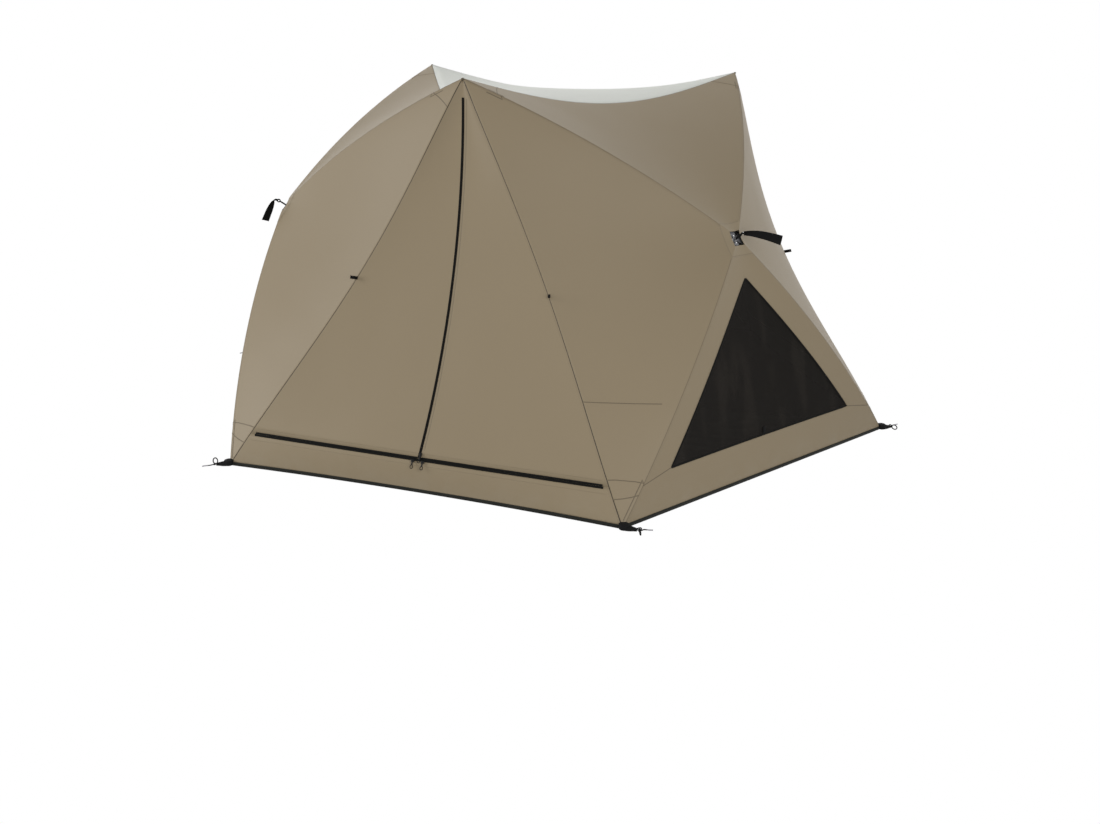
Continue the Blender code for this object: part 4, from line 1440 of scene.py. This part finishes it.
# %% Rivets and rings on the hubs
HUB_CENTRE = (SIDE_FOOT + SIDE_HEAD) / 2 + (HUB_RISE - 0.028) * SIDE_NORMAL
HUB_FRAME = basis(SIDE_RIGHT, SIDE_UP, SIDE_NORMAL, HUB_CENTRE)
HUB_FACE = 0.008
LINER_RADIUS, LINER_DROP, LINER_BACK = 0.090, 0.032, 0.014
LOBE_REACH, LOBE_SLOT, LOBE_LIFT, LOBE_HALF = (0.0245, 0.042), 0.0115, 0.0035, 0.0010
# Round parts are given as radius and depth.
WASHER, RIVET, RIVET_REACH = (0.0130, 0.0014), (0.0034, 0.0026), 0.0170


def on_hub(x, y, z):
    """The matrix of a place on the hub."""
    return HUB_FRAME @ Matrix.Translation((x, y, z))


def hub_liner():
    """The grey liner behind a hub and its poles, a shallow cone that fills the opening. Its grey is
    painted light, made paler for the shade of the hollow.
    """
    pick()
    bpy.ops.mesh.primitive_cone_add(
        vertices=32, radius1=LINER_RADIUS, radius2=0, depth=LINER_DROP, end_fill_type="NOTHING"
    )
    liner = bpy.context.object
    liner.data.transform(on_hub(0, 0, -LINER_BACK - LINER_DROP / 2))
    return finish(modify(liner, "SOLIDIFY", thickness=CLOTH, offset=0), LIT_LINER)


def hub_lobe(quarter):
    """One of the four flat lobes between the pole slots, which reach to the opening's edge."""
    pick()
    bpy.ops.mesh.primitive_cube_add(size=2)
    lobe = bpy.context.object
    for vertex in lobe.data.vertices:
        far = (vertex.co.y + 1) / 2
        y = LOBE_REACH[0] + (LOBE_REACH[1] - LOBE_REACH[0]) * far
        z = LOBE_LIFT + LOBE_HALF * vertex.co.z
        vertex.co = (vertex.co.x * (y - LOBE_SLOT), y, z)
    soft_edges(lobe, 0.0007, HUB_METAL)
    lobe.data.transform(HUB_FRAME @ Matrix.Rotation(quarter * math.pi / 2, 4, "Z"))
    return lobe


def make_hub_trim():
    """A washer, a bright rivet over each pole's pin, the lobes and the liner of each hub."""
    washer = on_hub(0, 0, HUB_FACE + 0.0007)
    parts = [hub_liner(), turned_part("washer", *WASHER, 32, washer, 0.0004, HUB_METAL)]
    parts += [hub_lobe(quarter) for quarter in range(4)]
    for x, y in ((0, RIVET_REACH), (0, -RIVET_REACH), (RIVET_REACH, 0), (-RIVET_REACH, 0)):
        place = on_hub(x, y, HUB_FACE + 0.0008)
        parts.append(turned_part("rivet", *RIVET, 16, place, 0.0010, BRIGHT_METAL))
    dress(join("hub_trim", *parts), "hub_trim", SIDES, body="hub_{}")
    print("hub trim made")


make_hub_trim()

# %% [markdown]
# ## Pull straps
#
# Each hub has a pull: a short cord on the bail, a small ring, and a webbing band folded over the
# ring and sewn. The right one stands out on its edge, and the others have tipped over and hang.

# %% Pull straps
STRAP_PIN = HUB_CENTRE + 0.017 * SIDE_NORMAL
STRAP_FRAME = basis(-SIDE_RIGHT, SIDE_OUT, UP, STRAP_PIN)
STRAP_WIDTHS, STRAP_THICK, STRAP_PATTERN = (0.022, 0.043), 0.0026, 0.04
STRAP_POINTS, STRAP_LAST, STRAP_EDGE = 40, 39, 0.44
STRAP_GATHERED, STRAP_PINCH, STRAP_CUP, STRAP_CURL = 15, 0.30, 0.010, 0.0022
STRAP_CORD, STRAP_STRANDS, STRAP_TUCK = 0.0034, 0.0022, 0.005
STRAP_RING, STRAP_BAR, STRAP_EYE = (0.0054, 0.0040), (0.0036, 0.0105), (0.0042, 0.009)
STRAP_LEAN = math.radians(18)
STRAP_RISE = [(0.000, 0.029), (0.040, 0.031), (0.085, 0.029), (0.130, 0.023), (0.172, 0.015)]
STANDING = [
    (-0.006 - math.sin(STRAP_LEAN) * s, 0.038 + math.cos(STRAP_LEAN) * s, z) for s, z in STRAP_RISE
]
HANGING = [
    (0.0, 0.040, 0.026),
    (0.0, 0.052, 0.030),
    (0.0, 0.063, 0.023),
    (0.0, 0.071, 0.006),
    (0.0, 0.089, -0.034),
    (0.0, 0.107, -0.076),
]
# Each strap's middle line, the direction across it at its root, and its twist in degrees.
STRAPS = {
    "right": (STANDING, (0, 0, 1), 0),
    "back": (HANGING, (1, 0, 0), -24),
    "left": (HANGING, (1, 0, 0), 50),
}


def curved(points, count):
    """Points along a smooth line through points."""
    points = [np.array(p, float) for p in points]
    padded = [2 * points[0] - points[1], *points, 2 * points[-1] - points[-2]]
    spans, line = len(points) - 1, []
    for s in np.linspace(0, spans, count):
        i = min(int(s), spans - 1)
        t = s - i
        a, b, c, d = padded[i : i + 4]
        square, cube = 2 * a - 5 * b + 4 * c - d, 3 * b - a - 3 * c + d
        line.append(0.5 * (2 * b + (c - a) * t + square * t**2 + cube * t**3))
    return line


def strap_band(line, aheads, across, twist):
    """The webbing. It turns by twist to its end, and is gathered where it leaves the ring."""

    def place(i, s):
        along, gather = i / STRAP_LAST, max(1 - i / STRAP_GATHERED, 0.0)
        side = unit(across - (across @ aheads[i]) * aheads[i])
        turn = twist * min(max((along - 0.25) / 0.5, 0.0), 1.0)
        side = side * math.cos(turn) + np.cross(aheads[i], side) * math.sin(turn)
        width = STRAP_WIDTHS[0] + (STRAP_WIDTHS[1] - STRAP_WIDTHS[0]) * along**0.8
        width *= 1 - STRAP_PINCH * gather
        curl = STRAP_CURL * along * (1 - (2 * s) ** 2)
        curl += STRAP_CUP * gather * (0.5 - (2 * s) ** 2)
        return line[i] + side * width * s + np.cross(side, aheads[i]) * curl

    def flat(i, s):
        return (length * i / STRAP_LAST, s * STRAP_PATTERN)

    length = sum(np.linalg.norm(b - a) for a, b in zip(line, line[1:]))
    steps, edges = list(range(STRAP_POINTS)), (-STRAP_EDGE, STRAP_EDGE)
    piece = grid("band", steps, list(np.linspace(-0.5, 0.5, 9)), place, flat)
    area = area_of(piece)
    rows = [[place(i, s) for i in steps[1:-1]] for s in edges]
    rows.append([place(6, s) for s in np.linspace(*edges, 6)])
    sew(piece, [(row, STITCHES) for row in rows])
    return webbing(piece, STRAP_THICK), area, length


def strap_fittings(root, ahead, side):
    """The ring in the band's fold, its bar, and the doubled cord from the hub's bail."""
    lying = basis(ahead, np.cross(side, ahead), side, root)
    loop = ring("ring", *STRAP_RING, lying, CORD)
    pin = turned_part("pin", *STRAP_BAR, 18, lying, 0.0008, BRIGHT_METAL)
    cords = []
    for shift in (-STRAP_STRANDS, STRAP_STRANDS):
        start = side * shift
        path = [start, root * 0.35 + start * 1.6 + (0, 0, 0.001), root * 0.75 + start]
        cords.append(rope("cord", [*path, root - ahead * STRAP_TUCK], STRAP_CORD, CORD))
    across = Matrix.Rotation(math.pi / 2, 4, "Y")
    eye = turned_part("eye", *STRAP_EYE, 20, across, 0.0006, CORD)
    return join("fittings", loop, pin, eye, *cords)


def make_straps():
    """The three pull straps, each made in the frame of its hub's bail."""
    for third, name in enumerate(SIDES):
        places, across, twist = STRAPS[name]
        across, line = np.array(across, float), curved(places, STRAP_POINTS)
        ends = [(line[max(i - 1, 0)], line[min(i + 1, STRAP_LAST)]) for i in range(STRAP_POINTS)]
        aheads = [unit(b - a) for a, b in ends]
        strap, area, length = strap_band(line, aheads, across, math.radians(twist))
        side = unit(across - (across @ aheads[0]) * aheads[0])
        fittings = strap_fittings(line[0] - aheads[0] * 0.004, aheads[0], side)
        for piece, stem in ((strap, "strap_band"), (fittings, "strap_cord")):
            piece.data.transform(third_turn(third) @ STRAP_FRAME)
            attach(named(piece, f"{stem}_{name}"), f"pull_strap_{name}")
        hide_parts(f"pull_strap_{name}")
        size, rests = (STRAP_WIDTHS[1], length), [f"hub_{name}"]
        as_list(rests)
    print("pull straps made")


make_straps()

# %% [markdown]
# ## Corner boots
#
# Each ground corner has a black boot that holds the pole's foot. A cord with a knotted loop for a
# peg comes out of it, and its loose tail runs on outward.

# %% Boots
BOOT_LENGTH, BOOT_WIDTH = 0.062, 0.036
BOOT_HEIGHTS = (0.024, 0.010)
LOOP_RADIUS, CORD_RADIUS, TAIL = 0.0145, 0.0025, 0.054
TIP_START, PAD_BACK, PAD_LIFT = 0.55, 0.004, 0.001
CUP, CUP_PLACE = (0.021, 0.024), (0.004, 0, 0.013)
AHEAD, ASIDE = np.array((0.92, 0.38, 0.0)), np.array((-0.38, 0.92, 0.0))
# Corner, side, the boot's turn in degrees, and how its peg loop is left.
BOOTS = (
    ("left", "right", 64, "lying"),
    ("right", "right", 42, "lying"),
    ("left", "back", -20, "lying"),
    ("right", "back", 24, "standing"),
    ("left", "left", 30, "lying"),
    ("right", "left", -36, "standing"),
)


def boot_pad():
    """A rounded pad that tapers to its tip, and the cup that holds it on the corner."""
    pick()
    bpy.ops.mesh.primitive_cube_add(size=2, enter_editmode=True)
    bpy.ops.mesh.subdivide(number_cuts=5)
    bpy.ops.object.mode_set(mode="OBJECT")
    pad = bpy.context.object
    for vertex in pad.data.vertices:
        share, y, z = (vertex.co.x + 1) / 2, vertex.co.y, (vertex.co.z + 1) / 2
        round_end = math.sin(math.pi * min(share * 1.15 + 0.12, 1.0)) ** 0.6
        width = BOOT_WIDTH * (0.55 + 0.45 * round_end) / 2
        height = BOOT_HEIGHTS[0] + (BOOT_HEIGHTS[1] - BOOT_HEIGHTS[0]) * share
        crown = 1 - 0.35 * abs(y) ** 3
        x = BOOT_LENGTH * share - PAD_BACK
        vertex.co = (x, y * width * (1 - 0.2 * z), PAD_LIFT + z * height * crown)
    finish(modify(pad, "SUBSURF", levels=1, render_levels=1), PLASTIC)
    cup = turned_part("cup", *CUP, 28, Matrix.Translation(CUP_PLACE), 0.005, PLASTIC)
    return join("boot", pad, cup)


def peg_loop(knot, standing):
    """The points of the peg loop, which stands up from its knot or lies beside it."""
    rise = unit(np.array((-0.25, 0.1, 1.0) if standing else (0.35, -0.9, 0.08)))
    aside = unit(np.cross(rise, (0.35, 0.94, 0.0)))
    middle, line = knot + rise * LOOP_RADIUS * 1.15, []
    for turn in np.linspace(-math.pi * 0.42, math.pi * 1.42, 14):
        round_it = math.cos(turn) * 0.8 * aside + math.sin(turn) * rise
        line.append(middle + LOOP_RADIUS * round_it)
    return line


def cord_tail(knot):
    """The points of the loose tail, which waves a little and sinks to the ground."""
    line = []
    for share in (0.30, 0.45, TIP_START, 0.70, 0.85, 1.0):
        spot = knot + AHEAD * TAIL * share + ASIDE * 0.003 * math.sin(5 * share)
        line.append((spot[0], spot[1], CORD_RADIUS + 0.0008 + 0.002 * (1 - share)))
    return line


def boot_cord(manner):
    """The cord: out of the pad, round the peg loop, through its knot and on to the tail's end."""
    start, standing = BOOT_LENGTH - 0.008, manner == "standing"
    knot = np.array((start + 0.012, 0.0, 0.0055 if standing else 0.0032))
    points = [(start - 0.008, 0.002, 0.0045), (start + 0.003, 0.0015, 0.005)]
    points += [knot - (0.003, 0, 0), *peg_loop(knot, standing)]
    points += [knot + (0.002, 0.001, 0), knot + AHEAD * 0.008 + (0, 0, -0.0012)]
    tail, twist = cord_tail(knot), []
    for turn in np.linspace(0, 4 * math.pi, 22):
        around = np.array((0.0, math.cos(turn), math.sin(turn))) * 0.0034
        twist.append(knot + around + (0.0035 * (turn / (2 * math.pi) - 1), 0, 0.0005))
    parts = [rope("cord", points + tail[:3], CORD_RADIUS, CORD)]
    parts.append(rope("knot", twist, CORD_RADIUS, CORD))
    parts.append(rope("tip", tail[2:], CORD_RADIUS * 1.1, PALE_TIP))
    if not standing:
        bight = [(start, 0.006, 0.006), (start + 0.012, 0.015, 0.010)]
        bight += [(start + 0.022, 0.011, 0.006), tuple(knot)]
        parts.append(rope("bight", bight, CORD_RADIUS, CORD))
    return join("boot_cord", *parts)


def make_boots():
    """Six boots, each turned its own way on its corner, with the peg loop up or down."""
    for word, side, turn, manner in BOOTS:
        corner = turned(LOWER_LEFT if word == "left" else LOWER_RIGHT, SIDES.index(side))
        out, turn = unit(corner), Matrix.Rotation(math.radians(turn), 4, "Z")
        matrix = basis(out, np.cross(UP, out), UP, corner) @ turn
        for piece, stem in ((boot_pad(), "boot"), (boot_cord(manner), "boot_cord")):
            named(piece, f"{stem}_{word}_{side}")
            piece.data.transform(matrix)
            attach(piece, "shell")
            if stem == "boot":
                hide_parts(f"corner_boot_{word}_{side}")
    print("boots made")


make_boots()

# %% [markdown]
# ## Tabs, sliders and caps
#
# Small parts make the scale believable: webbing tabs on the door seams, the zip sliders with their
# pulls, the rounded cap of each peak and the toggle under each window.

# %% Seam tabs
TAB_LENGTH, TAB_WIDTH, TAB_DROP, TAB_GAP = 0.036, 0.014, 0.500, 0.0011
TAB_THICK, TAB_INSET, TAB_ROWS = 0.0012, 0.002, [-0.5, -0.4, 0.0, 0.4, 0.5]
BESIDE = 0.01


def seam_tab(side):
    """A webbing tab folded in two, sewn into a door's seam."""
    x = side * (DOOR_HALF * TAB_DROP - TAB_INSET)
    ahead = unit(door_point(TAB_DROP - BESIDE, x) - door_point(TAB_DROP + BESIDE, x))
    out = radial(-90 + 30 * side)
    out = unit(out - (out @ ahead) * ahead)
    turns = np.linspace(-math.pi / 2, math.pi / 2, 7)
    tip = [(TAB_LENGTH - TAB_GAP * (1 - math.cos(t)), TAB_GAP * math.sin(t)) for t in turns]
    middle, bulge = TAB_LENGTH / 2, TAB_GAP * 1.3
    fold = [(0.0, -TAB_GAP), (middle, -bulge), *tip, (middle, bulge), (0.0, TAB_GAP)]

    def place(i, s):
        return (fold[i][0], s * TAB_WIDTH, fold[i][1])

    piece = grid("tab", list(range(len(fold))), TAB_ROWS, place, lambda i, s: place(i, s)[:2])
    webbing(piece, TAB_THICK)
    piece.data.transform(basis(out, ahead, np.cross(out, ahead), door_point(TAB_DROP, x)))
    return piece


def make_tabs():
    """Two tabs on each door."""
    for side, word in HALVES:
        dress(seam_tab(side), f"seam_tab_{word}", DOORS)
    print("seam tabs made")


make_tabs()
# %% Zip sliders
# For each kind: the body's width and height, the pull's length and the radius of its cord loop.
UPRIGHT_SLIDER, FOOT_SLIDER = (0.0115, 0.016, 0.020, 0.0065), (0.014, 0.011, 0.017, 0.0075)
UPRIGHT_PLACE, FOOT_PLACE, FOOT_APART = (0.0059, 0.010, 0), (0, -0.0045, 0), 0.023
BODY_DEPTH, BODY_LIFT, PULL_WIDTH, PULL_DEPTH, PULL_LIFT = 0.0055, 0.0050, 0.0062, 0.0018, 0.0068
BRIDGE = [(0.40, 0.0072), (0.30, 0.0094), (-0.20, 0.0096), (-0.42, 0.0074)]
BRIDGE_WIRE, PULL_CORD = 0.0009, 0.0016


def zip_frame(drop, x):
    """The matrix of a place on the door: right, up the door and outward."""
    up = unit(door_point(drop - BESIDE, x) - door_point(drop + BESIDE, x))
    right = unit(door_point(drop, x + BESIDE) - door_point(drop, x - BESIDE))
    out = unit(np.cross(right, up))
    return basis(np.cross(up, out), up, out, door_point(drop, x))


def slider(width, height, pull, loop):
    """A slider's body with its bridge, a flat pull and a cord loop, at the origin."""
    body = block((width, height, BODY_DEPTH), (0, 0, BODY_LIFT), 0.0014, BLACK_METAL)
    middle = (0, -height / 2 - pull / 2 + 0.003, PULL_LIFT)
    tab = block((PULL_WIDTH, pull, PULL_DEPTH), middle, 0.0005, BLACK_METAL)
    bridge = rope("bridge", [(0, height * y, z) for y, z in BRIDGE], BRIDGE_WIRE, BLACK_METAL)
    foot = 0.005 - height / 2 - pull - loop
    turns = np.linspace(0, 2 * math.pi, 13)[:-1]
    points = [(loop * math.sin(t) * 0.8, foot + loop * math.cos(t), PULL_LIFT) for t in turns]
    cord = rope("loop", points, PULL_CORD, CORD, closed=True)
    return join("slider", body, tab, bridge, cord)


def place_slider(kind, shift, drop, x, stem, node):
    """Three sliders of a kind on the doors' zips, each on the body that has its node's name."""
    piece = slider(*kind)
    piece.data.transform(zip_frame(drop, x) @ Matrix.Translation(shift))
    dress(piece, stem, DOORS, [node], body=node)


def make_sliders():
    """One slider on each upright zip, and two on each bottom zip."""
    drop = LEAF_FOOT - 0.004
    place_slider(UPRIGHT_SLIDER, UPRIGHT_PLACE, drop, 0.0, "upright_slider", "door_slider_{}")
    for side, word in HALVES:
        stem, node = f"foot_slider_{word}", f"bottom_slider_{word}_{{}}"
        drop, x = LEAF_FOOT + 0.004, side * FOOT_APART
        place_slider(FOOT_SLIDER, FOOT_PLACE, drop, x, stem, node)
    print("sliders made")


make_sliders()

# %% Peak caps and window toggles
CAP_RADIUS, CAP_SINK, CAP_SHAPE = 0.0058, 0.003, (1.3, 1.0, 0.8, 1)
TOGGLE_WIDTH, TOGGLE_LENGTH, TOGGLE_THICK, TOGGLE_TILT = 0.018, 0.030, 0.0018, 0.35


def make_peak_caps():
    """A small rounded cap over each pair of pole tips."""
    pick()
    bpy.ops.mesh.primitive_uv_sphere_add(segments=20, ring_count=12, radius=CAP_RADIUS)
    piece = bpy.context.object
    place = Matrix.Translation(Vector(PEAK - CAP_SINK * UP))
    piece.data.transform(place @ Matrix.Diagonal(CAP_SHAPE))
    dress(finish(piece, PEAK_CLOTH), "peak_cap", DOORS)
    print("peak caps made")


def make_toggles():
    """The flat black tab that holds the window's cover, at the middle of its foot."""

    def place(s, t):
        width = TOGGLE_WIDTH * (1 - 0.15 * t)
        return (s * width, t * TOGGLE_LENGTH, 0.004 * math.sin(t * 2.6))

    def flat(s, t):
        return (s * TOGGLE_WIDTH, t * TOGGLE_LENGTH)

    rows = list(np.linspace(0, 1, 8))
    piece = grid("toggle", TAB_ROWS, rows, place, flat, lambda s, t: WINDOW_FOOT)
    up = unit(SIDE_UP + TOGGLE_TILT * SIDE_NORMAL)
    out = unit(SIDE_NORMAL - TOGGLE_TILT * SIDE_UP)
    piece.data.transform(basis(SIDE_RIGHT, up, out, window_point(WINDOW_FOOT + 0.004, 0.0)))
    dress(webbing(piece, TOGGLE_THICK), "window_toggle", SIDES, moving="hub_{}")
    print("window toggles made")


make_peak_caps()
make_toggles()

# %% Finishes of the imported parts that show
FINISHES = {"pole": FIBREGLASS, "hub": HUB_METAL}
for node_name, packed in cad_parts.items():
    finish_of_node = FINISHES.get(node_name.split("_")[0])
    if finish_of_node:
        packed.data.materials.clear()
        packed.data.materials.append(finish_of_node)
print("poles and hubs finished")
